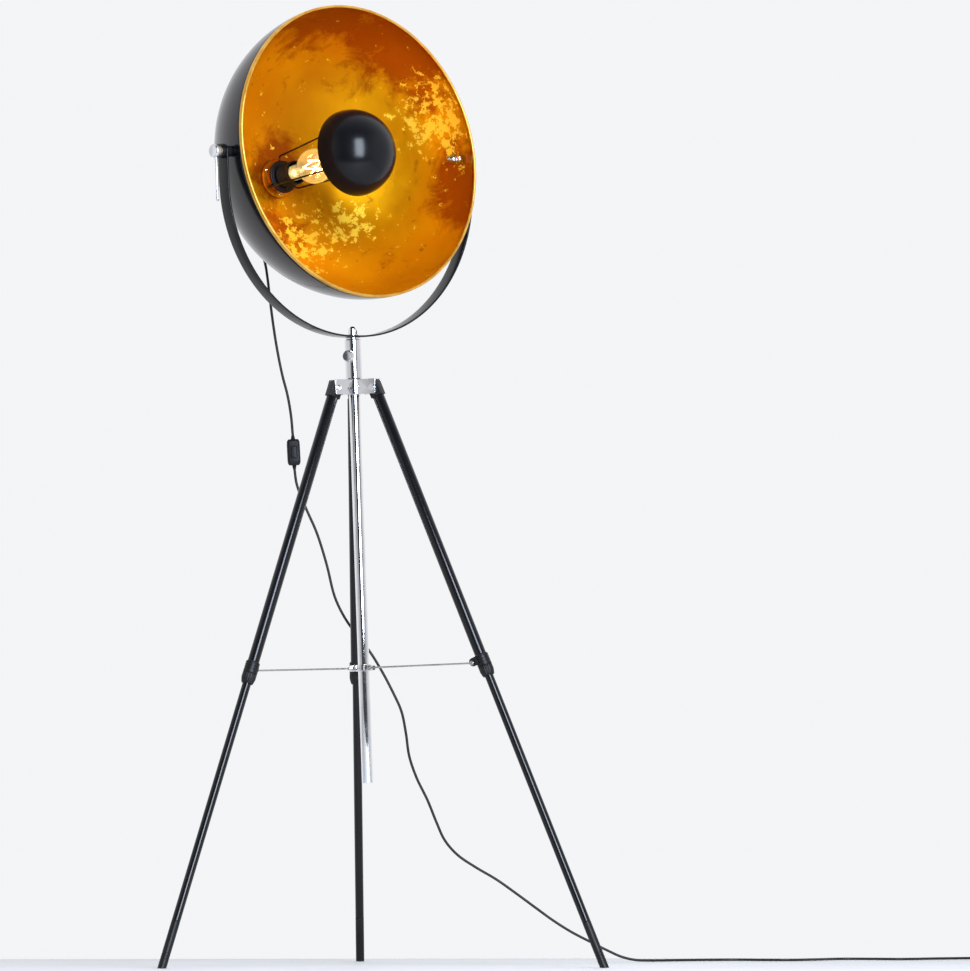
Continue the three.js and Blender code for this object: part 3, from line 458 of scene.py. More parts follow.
def smooth(points, steps=6):
    """A centripetal Catmull-Rom curve through the points."""
    p = [Vector(q) for q in points]
    p = [2 * p[0] - p[1], *p, 2 * p[-1] - p[-2]]
    line = []
    for a, b, c, d in zip(p, p[1:], p[2:], p[3:]):
        ta, tb, tc = (math.sqrt((y - x).length) for x, y in ((a, b), (b, c), (c, d)))
        leave = ((b - a) / ta - (c - a) / (ta + tb) + (c - b) / tb) * tb
        arrive = ((c - b) / tb - (d - b) / (tb + tc) + (d - c) / tc) * tb
        for i in range(steps):
            t = i / steps
            s = 1 - t
            line.append(
                b * (1 + 2 * t) * s * s + leave * t * s * s + c * t * t * (3 - 2 * t) - arrive * t * t * s
            )
    return [*line, p[-2]]


# ---------------------------------------------------------------- the frames of the sub-parts

joints = {j["name"]: j for j in frame["joints"]}


def spot(joint):
    return Vector(joints[joint]["pos_m"])


def axis(joint):
    return Vector(joints[joint]["axis"]).normalized()


def placed(origin, x=None, y=None, z=None):
    """A frame that takes millimetres to metres; of its three axes, two are given."""
    if x is None:
        x = y.cross(z)
    elif y is None:
        y = z.cross(x)
    else:
        z = x.cross(y)
    x, y, z = x.normalized(), y.normalized(), z.normalized()
    turn = Matrix((x, y, z)).transposed().to_4x4()
    return Matrix.Translation(origin) @ turn @ Matrix.Scale(MM, 4)


def centre_of(names):
    return sum((spot(n) for n in names), Vector()) / len(names)


ALONG_X = Matrix.Rotation(math.pi / 2, 4, "Y")  # takes Z to X
ALONG_Y = Matrix.Rotation(-math.pi / 2, 4, "X")  # takes Z to Y
HALF_TURN = Matrix.Rotation(math.pi, 4, "Z")
NO_TURN = Matrix.Identity(4)
ARMS = {"left": HALF_TURN, "right": NO_TURN}  # what is drawn on the yoke's right arm, turned to each
UP = axis("height_slide")
HUB_CENTRE = centre_of([f"fold_{side}" for side in SIDES])
STAND = placed(HUB_CENTRE, y=spot("fold_back") - HUB_CENTRE, z=UP)
COLLAR = placed(centre_of([f"rod_{side}" for side in SIDES]), y=spot("fold_back") - HUB_CENTRE, z=UP)
DISH_TILT = 7.15  # degrees that the dish looks up
YOKE = placed(spot("dish_tilt"), x=axis("dish_tilt"), z=UP)
HEAD = YOKE @ Matrix.Rotation(-math.radians(DISH_TILT), 4, "X")
GOLD_LEAF = gold_leaf()


def settle(piece, body, slot, *nodes):
    """The piece moves with a body and stands for CAD nodes; the slot is not used."""
    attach(piece, body)
    if nodes:
        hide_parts(*nodes)
    return piece


# ---------------------------------------------------------------- cord

CORD_DROP = [
    (-0.1892, 0.0938, 1.3218), (-0.1936, 0.1, 1.3207), (-0.198, 0.1062, 1.3193),
    (-0.2046, 0.1153, 1.3146), (-0.2104, 0.1234, 1.305), (-0.2136, 0.1288, 1.291),
    (-0.2115, 0.13, 1.268), (-0.203, 0.128, 1.244), (-0.189, 0.122, 1.22), (-0.179, 0.118, 1.194),
    (-0.174, 0.116, 1.165), (-0.17, 0.115, 1.13), (-0.165, 0.113, 1.09), (-0.158, 0.112, 1.045),
    (-0.149, 0.111, 1), (-0.14, 0.11, 0.965), (-0.134, 0.11, 0.93), (-0.131, 0.11, 0.897),
]
CORD_FALL = [
    (-0.128, 0.11, 0.839), (-0.124, 0.11, 0.813), (-0.109, 0.109, 0.774), (-0.09, 0.11, 0.731),
    (-0.073, 0.111, 0.677), (-0.059, 0.113, 0.622), (-0.042, 0.115, 0.587),
    (-0.021, 0.116, 0.557), (0.001, 0.116, 0.529), (0.022, 0.117, 0.495), (0.041, 0.119, 0.459),
    (0.055, 0.122, 0.428), (0.063, 0.127, 0.391), (0.069, 0.133, 0.352), (0.082, 0.139, 0.315),
    (0.101, 0.145, 0.277), (0.116, 0.151, 0.241), (0.131, 0.156, 0.209), (0.153, 0.161, 0.184),
    (0.184, 0.165, 0.163), (0.22, 0.17, 0.142), (0.253, 0.174, 0.119), (0.286, 0.178, 0.095),
    (0.318, 0.183, 0.072), (0.35, 0.187, 0.052), (0.383, 0.192, 0.035), (0.413, 0.196, 0.02),
    (0.438, 0.2, 0.009), (0.462, 0.204, 0.0036), (0.486, 0.21, 0.0027), (0.532, 0.234, 0.0027),
    (0.588, 0.261, 0.0027), (0.641, 0.274, 0.0027), (0.69, 0.248, 0.0027), (0.733, 0.237, 0.0027),
    (0.784, 0.289, 0.0027), (0.834, 0.348, 0.0027), (0.884, 0.335, 0.0027),
    (0.936, 0.315, 0.0027), (0.992, 0.357, 0.0027), (1.042, 0.388, 0.0027),
    (1.068, 0.402, 0.0027), (1.0924, 0.4113, 0.0027),
]
CORD_WIDTH = 0.0045
KNEE = 7  # the point of CORD_FALL up to which the cord follows the column
COIL_CENTRE = Vector((1.118, 0.392, 0.0))
COIL_TURN = 0.025  # radius of the middle of the turns
COIL_STEPS = 12  # points to a turn
COIL_STRAIGHT = 0.65  # share of a turn before it eases over to the next one


def coil_line():
    """From the coil's far side: outer, then inner turn on the floor, and inner, then outer on top."""
    beside, low, high = CORD_WIDTH / 2 + 0.0001, CORD_WIDTH / 2 + 0.0004, CORD_WIDTH * 1.5 + 0.0006
    outer, inner = COIL_TURN + beside, COIL_TURN - beside
    turns = ((outer, low), (inner, low), (inner, high), (outer, high), (outer, high))
    line = []
    for i in range(3 * COIL_STEPS + COIL_STEPS // 4 + 1):
        turn, part = divmod(i / COIL_STEPS, 1)
        (radius, height), (next_radius, next_height) = turns[int(turn)], turns[int(turn) + 1]
        share = max(0.0, (part - COIL_STRAIGHT) / (1 - COIL_STRAIGHT))
        ease = share * share * (3 - 2 * share)
        radius += (next_radius - radius) * ease
        angle = math.pi / 2 - 2 * math.pi * part
        flat = Vector((math.cos(angle), math.sin(angle), 0)) * radius
        line.append(COIL_CENTRE + flat + Vector((0, 0, height + (next_height - height) * ease)))
    return line


RELIEF_TIP, RELIEF_ROOT = 3.45, 5.5
PLUG_RELIEF, PLUG_BODY = 24.0, 36.0  # lengths along the plug
PLUG_WIDE, PLUG_HIGH = 26.0, 13.7
PIN_OUT = 9.3  # from the plug's middle to each pin
COIL_OUTER = COIL_TURN / MM + CORD_WIDTH / MM
PLUG_LINE = (COIL_TURN + CORD_WIDTH / 2) / MM  # from the coil's middle to the plug's own line
PLUG_START = math.sqrt(COIL_OUTER**2 - (PLUG_LINE - RELIEF_TIP) ** 2) + 0.3
PLUG_TIP = COIL_CENTRE + Vector((PLUG_LINE, -PLUG_START, PLUG_HIGH / 2)) * MM


def cord_piece(name, line):
    """A round cord along a line in metres."""
    shape = Shape()
    shape.sweep(line, polygon(CORD_WIDTH / 2, 14), up=(0, 1, 0.2))
    piece = shape.made(name, NO_TURN, [CORD_SKIN], sharp=60)
    return piece


def add_cords():
    line = smooth(CORD_DROP)
    drop = cord_piece("cord_to_switch", line)
    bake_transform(drop)
    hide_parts("cord_drop")
    fall = smooth(CORD_FALL)
    knee = fall.index(next(p for p in fall if (p - Vector(CORD_FALL[KNEE])).length < 1e-6))
    upper = cord_piece("cord_below_switch", fall[: knee + 1])
    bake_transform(upper)
    into_plug = [PLUG_TIP + Vector((0, way, 0)) for way in (0.004, -0.002)]
    rest = smooth([*CORD_FALL[KNEE:], *coil_line(), *into_plug])
    lower = cord_piece("cord_to_plug", rest)
    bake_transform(lower)
    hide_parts("cord_fall", "cord_coil")


SWITCH_WIDE, SWITCH_THICK = 22.0, 17.0
SWITCH_COLLAR = 7.0
SWITCH_TOP, SWITCH_FOOT = Vector(CORD_DROP[-1]), Vector(CORD_FALL[0])  # where the cords go in
SWITCH = placed((SWITCH_TOP + SWITCH_FOOT) / 2, x=axis("rocker_press"), z=SWITCH_TOP - SWITCH_FOOT)


def add_switch_case():
    """A two-part case with a well for the rocker, and a ribbed collar at each end."""
    half = (SWITCH_TOP - SWITCH_FOOT).length / MM / 2 - SWITCH_COLLAR
    face = SWITCH_THICK / 2
    shape = Shape()
    outline = rounded_box(SWITCH_WIDE, SWITCH_THICK, 4.5, 5)
    levels = [(-half, 0.74), (-half + 1.2, 0.86), (-half + 4, 0.97), (-half + 9, 1.0)]
    levels += [(-z, k) for z, k in reversed(levels)]
    shape.grid(levelled(outline, levels))
    seam = rounded_box(SWITCH_WIDE + 0.3, 0.7, 0.3, 2)
    shape.prism(seam, 8 - half, half - 8, 0.1)
    well = rounded_box(11.5, 21, 1.5, 3)
    rim = ((-0.5, 0), (0.5, 0), (0.7, 0.3), (0.5, 0.7), (-0.6, 0.8))
    facing = Matrix.Translation((0, -face, 0)) @ Matrix.Rotation(math.pi / 2, 4, "X")
    shape.grid([[(x, y, h) for x, y in inset(well, d)] for h, d in rim], turn=facing)
    collar = [(0, 0)]
    for k in range(4):
        at, r = 1.7 * k, 3.9 - 0.35 * k
        collar += [(r, at), (r, at + 1.0), (3.0 - 0.2 * k, at + 1.2)]
    collar += [(2.4, SWITCH_COLLAR), (0, SWITCH_COLLAR)]
    for way in (1, -1):
        turn = Matrix.Translation((0, 0, way * half)) @ Matrix.Rotation(0 if way > 0 else math.pi, 4, "X")
        shape.lathe(fillet(collar, 0.2), 24, turn)
    for way in (1, -1):
        turn = Matrix.Translation((0, face, way * (half - 7))) @ ALONG_Y
        shape.lathe([(0, -1), (2.2, -1), (2.2, 0.2), (1.9, 0.45), (0, 0.45)], 20, turn, 1)
    case = shape.made("switch_housing", SWITCH, [BLACK_PLASTIC, STEEL])
    return settle(case, "yoke", "black_plastic", "switch_case")


def add_switch_button():
    """The rocker, whose outline is drawn along the switch and out of its face."""
    shape = Shape()
    swing = [(-9, 0.4), (-8.6, 2.3), (0, 0.6), (8.6, 1.3), (9, 0.4), (8, -4), (-8, -4)]
    standing = Matrix(((0, 0, 1, 0), (0, -1, 0, 0), (1, 0, 0, 0), (0, 0, 0, 1)))
    turn = Matrix.Translation((0, -SWITCH_THICK / 2, 0)) @ standing
    shape.prism(fillet(swing, 0.6, closed=True), -4.3, 4.3, 0.5, turn)
    button = shape.made("switch_button", SWITCH, [BLACK_PLASTIC])
    return settle(button, "rocker", "black_plastic", "switch_rocker")


def add_switch():
    return [add_switch_case(), add_switch_button()]


def add_plug():
    """A flat two-pin plug: moulded body, ribbed tail, and pins with insulated roots."""
    shape = Shape()
    place = placed(Vector((PLUG_TIP.x, PLUG_TIP.y, 0)), x=Vector((-1, 0, 0)), z=Vector((0, 0, 1)))
    tail, body = PLUG_RELIEF, PLUG_RELIEF + PLUG_BODY
    widths = [(tail - 1, 11, 10), (tail + 1, 13, 11.5), (tail + 18, 24.6, 13.2)]
    widths += [(tail + 23, PLUG_WIDE, PLUG_HIGH), (body - 3, PLUG_WIDE, PLUG_HIGH)]
    widths += [(body - 1, 25.4, 13.1), (body, 23.5, 11.2)]
    rings = [[(x, y, z) for x, z in rounded_box(w, h, 4.5, 5)] for y, w, h in widths]
    lifted = Matrix.Translation((0, 0, PLUG_HIGH / 2))
    shape.grid(rings, turn=lifted)
    profile = [(0, 0)]
    ribs = 6
    for k in range(ribs):
        at, r = tail * k / ribs, RELIEF_TIP + (RELIEF_ROOT - RELIEF_TIP) * (k + 0.5) / ribs
        profile += [(r - 0.7, at), (r, at + 0.5), (r, at + 2.4), (r - 0.7, at + 2.9)]
    shape.lathe([*profile, (5, tail), (0, tail)], 28, lifted @ ALONG_Y)
    for way in (-1, 1):
        turn = Matrix.Translation((way * PIN_OUT, body - 1, PLUG_HIGH / 2)) @ ALONG_Y
        shape.lathe([(0, 0), (2, 0), (2, 10.5), (1.8, 10.8), (0, 10.8)], 24, turn)
        shape.lathe(fillet([(0, 10), (1.95, 10), (1.95, 19.5), (0.9, 20), (0, 20)], 0.3), 24, turn, 1)
    piece = shape.made("mains_plug", place, [BLACK_PLASTIC, KNOB_CHROME])
    return settle(piece, "stand", "black_plastic", "plug")


# ---------------------------------------------------------------- legs

SPLAY_PIVOT = 38.7  # from the column's axis to the legs' pivots
EAR_IN, EAR_OUT = 8.5, 12.5  # each side of the leg
EAR_ROOT, EAR_END = 11.0, 45.0  # out from the column's axis
TUBE, TUBE_BORE = 9.75, 8.5
TUBE_TOP, TUBE_END = 17.0, 505.0  # along the leg from its pivot
LOWER_TUBE, LOWER_BORE = 7.2, 6.0
CLAMP = 12.0
CLAMP_TOP, CLAMP_END = 488.5, 508.5  # along the leg from its pivot
LOCK_LONG = 18.0
LOWER_TOP = 585.0  # length of the lower tube and foot together
FOOT = 82.0


def leg_frame(side):
    return placed(spot(f"fold_{side}"), y=axis(f"fold_{side}"), z=axis(f"extend_{side}"))


def hinge_frame(side):
    return placed(spot(f"fold_{side}"), y=axis(f"fold_{side}"), z=UP)


def screw_head(shape, turn, radius, height, material=0):
    """A button head with a hexagonal socket."""
    socket = radius * 0.46
    profile = [(radius, 0), (radius, height * 0.35), (radius * 0.86, height * 0.8)]
    profile += [(radius * 0.66, height), (socket + 0.25, height), (socket, height - 0.25)]
    rings = [[(r * x, r * y, z) for x, y in polygon(1, 36)] for r, z in profile[:-1]]
    rings += [[(x, y, z) for x, y in hexagon(socket)] for z in (height - 0.25, height * 0.3)]
    shape.grid([[(0, 0, 0)], *rings, [(0, 0, height * 0.3)]], material, turn)


def hex_nut(shape, turn, across, low, high, bore=0.0):
    """A chamfered hexagonal nut."""
    ring = hexagon(across)
    flat = across * math.cos(math.pi / 6)
    rounded = [tuple(Vector(p).normalized() * min(Vector(p).length, flat * 1.02)) for p in ring]
    rings = [[(x, y, low) for x, y in rounded], [(x, y, low + 0.6) for x, y in ring]]
    rings += [[(x, y, high - 0.6) for x, y in ring], [(x, y, high) for x, y in rounded]]
    if bore:
        rings += levelled(circled(ring, bore), [(high, 1), (low, 1)])
        shape.grid(rings, turn=turn, loop=False)
    else:
        shape.grid([[(0, 0, low)], *rings, [(0, 0, high)]], turn=turn)


def add_pivot_screw(side):
    shape = Shape()
    shape.lathe([(0, -15), (3, -15), (3, 13.5), (0, 13.5)], 24, ALONG_Y)
    screw_head(shape, Matrix.Translation((0, EAR_OUT + 0.3, 0)) @ ALONG_Y, 5.2, 3.2)
    hex_nut(shape, ALONG_Y, 5.2, -EAR_OUT - 3.5, -EAR_OUT - 0.3)
    for way in (-1, 1):
        washer = [(3.2, 0.02), (5.9, 0.02), (5.9, 0.28), (3.2, 0.28)]
        turn = Matrix.Translation((0, way * EAR_OUT, 0)) @ Matrix.Rotation(-way * math.pi / 2, 4, "X")
        shape.lathe(washer, 36, turn, ring=True)
    piece = shape.made(f"hinge_screw_{side}", hinge_frame(side), [KNOB_CHROME])
    settle(piece, "stand", "chrome", f"pivot_screw_{side}")


def add_leg_head(side, place):
    """The cap on the leg's top that turns on the pivot screw, round above and square below."""
    cap = Shape()
    half = 10.5
    above = fillet([(half, -2), (half, 13), (-half, 13), (-half, -2)], 6, steps=6)
    outline = [(-half, -16), (half, -16), *above]
    cap.prism([(x, -z) for x, z in outline], -8.2, 8.2, 1.0, ALONG_Y)
    for way in (-1, 1):
        rib = fillet([(-7, 0), (7, 0), (7, 1.2), (-7, 1.2)], 0.3, closed=True)
        turn = Matrix.Translation((0, 0, -13 + way)) @ ALONG_Y
        cap.prism(rib, -8.35, 8.35, 0.15, turn)
    piece = cap.made(f"leg_head_{side}", place, [BLACK_PLASTIC])
    settle(piece, f"leg_{side}", "black_plastic", f"leg_cap_{side}")


def add_upper_leg(side, place):
    leg = Shape()
    low, top, edge = -TUBE_END - 0.4, -TUBE_TOP + 0.6, TUBE - 0.35
    wall = [(TUBE_BORE, -TUBE_END), (TUBE_BORE + 0.4, low), (edge, low), (TUBE, -TUBE_END)]
    wall += [(TUBE, -TUBE_TOP), (edge, top), (TUBE_BORE, top)]
    leg.lathe(wall, 64, ring=True)
    tube = leg.made(f"leg_tube_{side}", place, [BLACK_PAINT])
    settle(tube, f"leg_{side}", "black_paint", f"upper_leg_{side}")


def add_leg_collar(side, place):
    """The grooved clamp on the tube, with the round-nosed lug that carries the spreader rod."""
    clamp = Shape()
    bore = TUBE + 0.15
    profile = [(bore, -CLAMP_TOP), (CLAMP - 1.4, -CLAMP_TOP), (CLAMP, -CLAMP_TOP - 2)]
    for k in range(3):
        at = -CLAMP_TOP - 4.6 - 4.6 * k
        groove = CLAMP - 0.6
        profile += [(CLAMP, at + 0.9), (groove, at + 0.5), (groove, at - 0.5), (CLAMP, at - 0.9)]
    profile += [(CLAMP, -CLAMP_END), (bore, -CLAMP_END)]
    clamp.lathe(profile, 64, ring=True)
    lug = fillet([(-4, -7), (-19, -7), (-19, 7), (-4, 7)], 6, steps=5)
    turn = Matrix.Translation((0, 0, -(CLAMP_TOP + CLAMP_END) / 2 + 1.5)) @ ALONG_Y
    clamp.prism([(x, -z) for x, z in lug], -13.1, -7.2, 0.8, turn)
    rim = clamp.made(f"leg_collar_{side}", place, [BLACK_PLASTIC])
    settle(rim, f"leg_{side}", "black_plastic", f"leg_clamp_{side}")


def add_lock(side, place):
    """The twist lock: a ribbed grip that tapers towards the lower tube."""
    shape = Shape()
    edge = fluted(CLAMP, 0.55, 22, 6)
    top = -CLAMP_END - 0.3
    end = top - LOCK_LONG
    levels = [(top, 0.96), (top - 0.7, 1.0), (top - 9, 1.0), (top - 14, 0.9), (end + 0.7, 0.82), (end, 0.78)]
    hole = circled(edge, LOWER_TUBE + 0.15)
    shape.grid(levelled(edge, levels) + levelled(hole, [(end, 1), (top, 1)]), loop=False)
    lock = shape.made(f"twist_lock_{side}", place, [BLACK_PLASTIC])
    settle(lock, f"leg_lock_{side}", "black_plastic", f"leg_lock_{side}")


def add_lower_leg(side, place):
    down = -(place.to_3x3() @ Vector((0, 0, 1))) / MM
    reach = place.translation.z / -down.z / MM  # from the pivot down the leg to the floor
    shape = Shape()
    low, top = FOOT - reach, LOWER_TOP - reach
    wall = [(LOWER_BORE, low), (LOWER_TUBE - 0.3, low), (LOWER_TUBE, low + 0.4)]
    wall += [(LOWER_TUBE, top - 0.6), (LOWER_TUBE - 0.6, top), (LOWER_BORE, top)]
    shape.lathe(wall, 56, ring=True)
    tube = shape.made(f"lower_tube_{side}", place, [BLACK_PAINT])
    settle(tube, f"lower_{side}", "black_paint", f"lower_leg_{side}")

    foot = Shape()
    sole = -reach
    plug, rim, groove = LOWER_BORE - 0.3, LOWER_TUBE - 0.5, LOWER_TUBE - 0.45
    profile = [(0, low + 18), (plug, low + 18), (plug, low - 0.3), (rim, low - 0.3), (LOWER_TUBE, low - 0.9)]
    for k in range(3):
        at = sole + 26 - 5 * k
        profile += [(LOWER_TUBE, at + 0.8), (groove, at + 0.4), (groove, at - 0.4), (LOWER_TUBE, at - 0.8)]
    profile += [(LOWER_TUBE, sole + 4), (LOWER_TUBE, sole - 12), (0, sole - 12)]
    foot.lathe(profile, 56)
    # Below the floor the foot is cut off flat, along its own axis.
    for vert in foot.mesh.verts:
        height = (place @ vert.co).z
        if height < 0:
            vert.co.z += height / down.z / MM
    piece = foot.made(f"foot_tip_{side}", place, [BLACK_PLASTIC])
    settle(piece, f"lower_{side}", "black_plastic", f"foot_{side}")


def add_leg(side):
    place = leg_frame(side)
    add_pivot_screw(side)
    add_leg_head(side, place)
    add_upper_leg(side, place)
    add_leg_collar(side, place)
    add_lock(side, place)
    add_lower_leg(side, place)


# ---------------------------------------------------------------- hub, column and spreader

# Heights are from the legs' pivots.
HUB = 17.0
HUB_LOW, HUB_TOP = -10.5, 14.5
COLUMN, COLUMN_WALL = 9.5, 1.3
COLUMN_END = -660.8
POLE, POLE_WALL = 7.9, 1.2
POLE_CAP = 12.0
SLEEVE = 13.9
SLEEVE_LOW, SLEEVE_TOP = 14.8, 81.8
POLE_TOP = 85.4
SWIVEL = 4.0
STRIP_TOP = 88.7


def add_hub():
    shape = Shape()
    profile = [(9.6, HUB_LOW), (HUB, HUB_LOW), (HUB, HUB_TOP), (9.6, HUB_TOP)]
    shape.lathe(fillet(profile, 0.8, closed=True), 72, ring=True)
    for side in SIDES:
        turn = STAND.inverted() @ hinge_frame(side) @ Matrix.Translation((-SPLAY_PIVOT, 0, 0)) @ ALONG_Y
        corners = [(EAR_ROOT, HUB_LOW), (EAR_END, HUB_LOW), (EAR_END, HUB_TOP), (EAR_ROOT, HUB_TOP)]
        ear = fillet(corners, 1.6, closed=True, steps=4)
        for low, high in ((EAR_IN, EAR_OUT), (-EAR_OUT, -EAR_IN)):
            shape.prism([(x, -z) for x, z in ear], low, high, 0.5, turn)
    hub = shape.made("hub_casting", STAND, [CHROME])
    settle(hub, "stand", "chrome", "hub")


def add_column():
    shape = Shape()
    inner = COLUMN - COLUMN_WALL
    wall = [(inner, COLUMN_END), (COLUMN, COLUMN_END), (COLUMN, HUB_TOP - 0.3), (inner, HUB_TOP - 0.3)]
    shape.lathe(fillet(wall, 0.5, closed=True), 72, ring=True)
    settle(shape.made("column", STAND, [CHROME]), "stand", "chrome", "column_tube")


def add_sleeve():
    """The tube that clamps the pole, with a seat on its side for the knob's stud."""
    sleeve = Shape()
    bore = POLE - 0.3
    wall = [(bore, SLEEVE_LOW), (SLEEVE, SLEEVE_LOW), (SLEEVE, SLEEVE_TOP), (bore, SLEEVE_TOP)]
    sleeve.lathe(fillet(wall, 1.0, closed=True), 72, ring=True)
    turn = STAND.inverted() @ knob_frame("height_knob_turn")
    face = SLEEVE + 1.6
    seat = fillet([(0, 11), (5.2, 11), (5.2, face), (2.7, face), (0, face)], 0.5)
    sleeve.lathe(seat, 36, turn @ ALONG_X)
    settle(sleeve.made("column_sleeve", STAND, [CHROME]), "stand", "chrome", "sleeve")


def knob_frame(joint):
    return placed(spot(joint), x=axis(joint), z=UP)


def grip(shape, radius, low, high, ribs, turn=ALONG_X):
    """A round metal knob with a ribbed rim, a rolled edge and a dished face."""
    edge = fluted(radius, 0.35, ribs, 6)
    circle = circled(edge, radius - 0.5)
    band = (high - low) * 0.14
    rings = levelled(circle, [(low, 0.8), (low + 0.8, 1), (low + band, 1)])
    rings += levelled(edge, [(low + band + 0.4, 1), (high - band - 0.4, 1)])
    rings += levelled(circle, [(high - band, 1), (high - 0.7, 0.97), (high, 0.88)])
    rings += levelled(circle, [(high - 0.1, 0.72), (high - 0.8, 0.45)])
    shape.grid([[(0, 0, low)], *rings, [(0, 0, high - 1.0)]], turn=turn)


def add_height_knob():
    shape = Shape()
    face = SLEEVE + 6
    shape.lathe([(0, SLEEVE + 0.4), (2.5, SLEEVE + 0.4), (2.5, face + 1), (0, face + 1)], 24, ALONG_X)
    grip(shape, 9.7, face, face + 14, 28)
    knob = shape.made("height_grip", knob_frame("height_knob_turn"), [KNOB_CHROME])
    settle(knob, "height_knob", "chrome", "height_knob")


def add_pole():
    shape = Shape()
    inner, low, seat = POLE - POLE_WALL, COLUMN_END + 60, SLEEVE_TOP + 0.3
    profile = [(inner, low), (POLE, low), (POLE, seat), (POLE_CAP, seat)]
    profile += [(POLE_CAP, POLE_TOP), (SWIVEL + 0.3, POLE_TOP), (SWIVEL + 0.3, seat), (inner, seat)]
    shape.lathe(fillet(profile, 0.5, closed=True), 64, ring=True)
    settle(shape.made("inner_pole", STAND, [CHROME]), "pole", "chrome", "pole")


def add_swivel():
    """The pin that the yoke swivels on, with its head in the pole, a washer and a domed nut."""
    bolt = Shape()
    hex_nut(bolt, None, 6.3, SLEEVE_TOP - 8, SLEEVE_TOP)
    low, high = SLEEVE_TOP - 1, STRIP_TOP + 12
    bolt.lathe(fillet([(0, low), (SWIVEL, low), (SWIVEL, high), (0, high)], 0.6), 32)
    settle(bolt.made("swivel_pin", STAND, [STEEL]), "pole", "chrome", "swivel_bolt")

    washer = Shape()
    low = STRIP_TOP + 0.3
    ring = fillet([(4.3, low), (9.5, low), (9.5, low + 1.6), (4.3, low + 1.6)], 0.3, closed=True)
    washer.lathe(ring, 48, ring=True)
    settle(washer.made("swivel_ring", STAND, [CHROME]), "pole", "chrome", "swivel_washer")

    nut = Shape()
    low = STRIP_TOP + 2.2
    hex_nut(nut, None, 7.6, low, low + 7)
    dome = [(0, low + 6), (6.6, low + 6), *arc(6.6, low + 7, 0, 90, 12)[:-1], (0, low + 13.6)]
    nut.lathe(dome, 40)
    settle(nut.made("dome_nut", STAND, [CHROME]), "pole", "chrome", "acorn_nut")


ROD_LENGTH = 191.866  # between its eyes
ROD = 1.5
ROD_SIDE = 15.0  # beside the leg's own plane
COLLAR_OUT, COLLAR_HALF = 13.5, 5.2
COLLAR_EYE = 17.0  # from the column's axis to the rods' inner pivots


def add_spreader():
    shape = Shape()
    half, bore = COLLAR_HALF, COLUMN + 0.2
    ring = [(bore, -half), (COLLAR_OUT, -half), (COLLAR_OUT, half), (bore, half)]
    shape.lathe(fillet(ring, 0.7, closed=True), 64, ring=True)
    ear = fillet([(5, -half), (21, -half), (21, half), (5, half)], 3.5, closed=True, steps=4)
    for side in SIDES:
        turn = COLLAR.inverted() @ rod_frame(side) @ Matrix.Translation((-COLLAR_EYE, ROD_SIDE, 0))
        shape.prism(ear, -13.1, -8.5, 0.4, turn @ ALONG_Y)
    settle(shape.made("spreader_ring", COLLAR, [CHROME]), "collar", "chrome", "spreader_collar")

    screw = Shape()
    screw.prism(fluted(3.6, 0.25, 16, 4), COLLAR_OUT + 0.3, COLLAR_OUT + 5.3, 0.5, ALONG_X)
    piece = screw.made("collar_thumbscrew", knob_frame("collar_screw_turn"), [BLACK_PLASTIC])
    settle(piece, "collar_screw", "black_plastic", "collar_screw")

    for side in SIDES:
        add_rod(side)


def rod_frame(side):
    return placed(spot(f"rod_{side}"), y=axis(f"rod_{side}"), z=UP)


def add_rod(side):
    """A round rod whose ends are flattened into eyes and riveted."""
    shape = Shape()
    ends = 7.0
    xs = [ends * k / 6 for k in range(7)]
    xs += [ROD_LENGTH - x for x in reversed(xs)]
    line = [(x, 0, 0) for x in xs]
    flat = []
    for x in xs:
        near = min(x, ROD_LENGTH - x) / ends
        ease = near * near * (3 - 2 * near)
        flat.append((1.9 - 0.9 * ease, 0.72 + 0.28 * ease))
    section = [(b, a) for a, b in polygon(ROD, 16)]
    shape.sweep(line, section, up=(0, 1, 0), scale=flat)
    for x in (0, ROD_LENGTH):
        turn = Matrix.Translation((x, 0, 0)) @ ALONG_Y
        shape.lathe(fillet([(0, -1.1), (4, -1.1), (4, 1.1), (0, 1.1)], 0.35), 32, turn)
        rivet = [(0, -2.4), (1.4, -2.3), (2.4, -1.7), (2.6, -1.0), (2.6, 0), (1.9, 1.3), (0, 1.4)]
        shape.lathe(rivet, 24, turn)
    rod = shape.made(f"strut_{side}", rod_frame(side), [STEEL])
    settle(rod, f"rod_{side}", "chrome", f"spreader_rod_{side}")


# ---------------------------------------------------------------- yoke

STRIP, STRIP_THICK = 25.0, 3.0
PIVOT_BACK = 36.0
DISH, DISH_DEPTH, DISH_WALL = 250.0, 232.0, 1.5


def bowl_radius(behind, sunk=0.0):
    """The dish's radius at a distance behind the rim, outside or sunk by the wall."""
    return (DISH - sunk) * math.sqrt(1 - (behind / (DISH_DEPTH - sunk)) ** 2)


def bowl_depth(radius, sunk=0.0):
    return (DISH_DEPTH - sunk) * math.sqrt(1 - (radius / (DISH - sunk)) ** 2)


BOLT = 4.0
SPACER, SPACER_LONG = 9.5, 11.0
SPACER_IN = bowl_radius(PIVOT_BACK - SPACER) + 0.3
ARM_IN = SPACER_IN + SPACER_LONG + 0.3
ARM_OUT = ARM_IN + STRIP_THICK
BOSS_OUT = ARM_OUT + 7
KNOB_IN = BOSS_OUT + 0.3
KNOBS = {"left": (11.75, 13.5, 8.0), "right": (7.0, 5.0, 3.0)}  # radius, length and bolt inside
YOKE_STRAIGHT = 49.4
YOKE_FLAT = 6.0


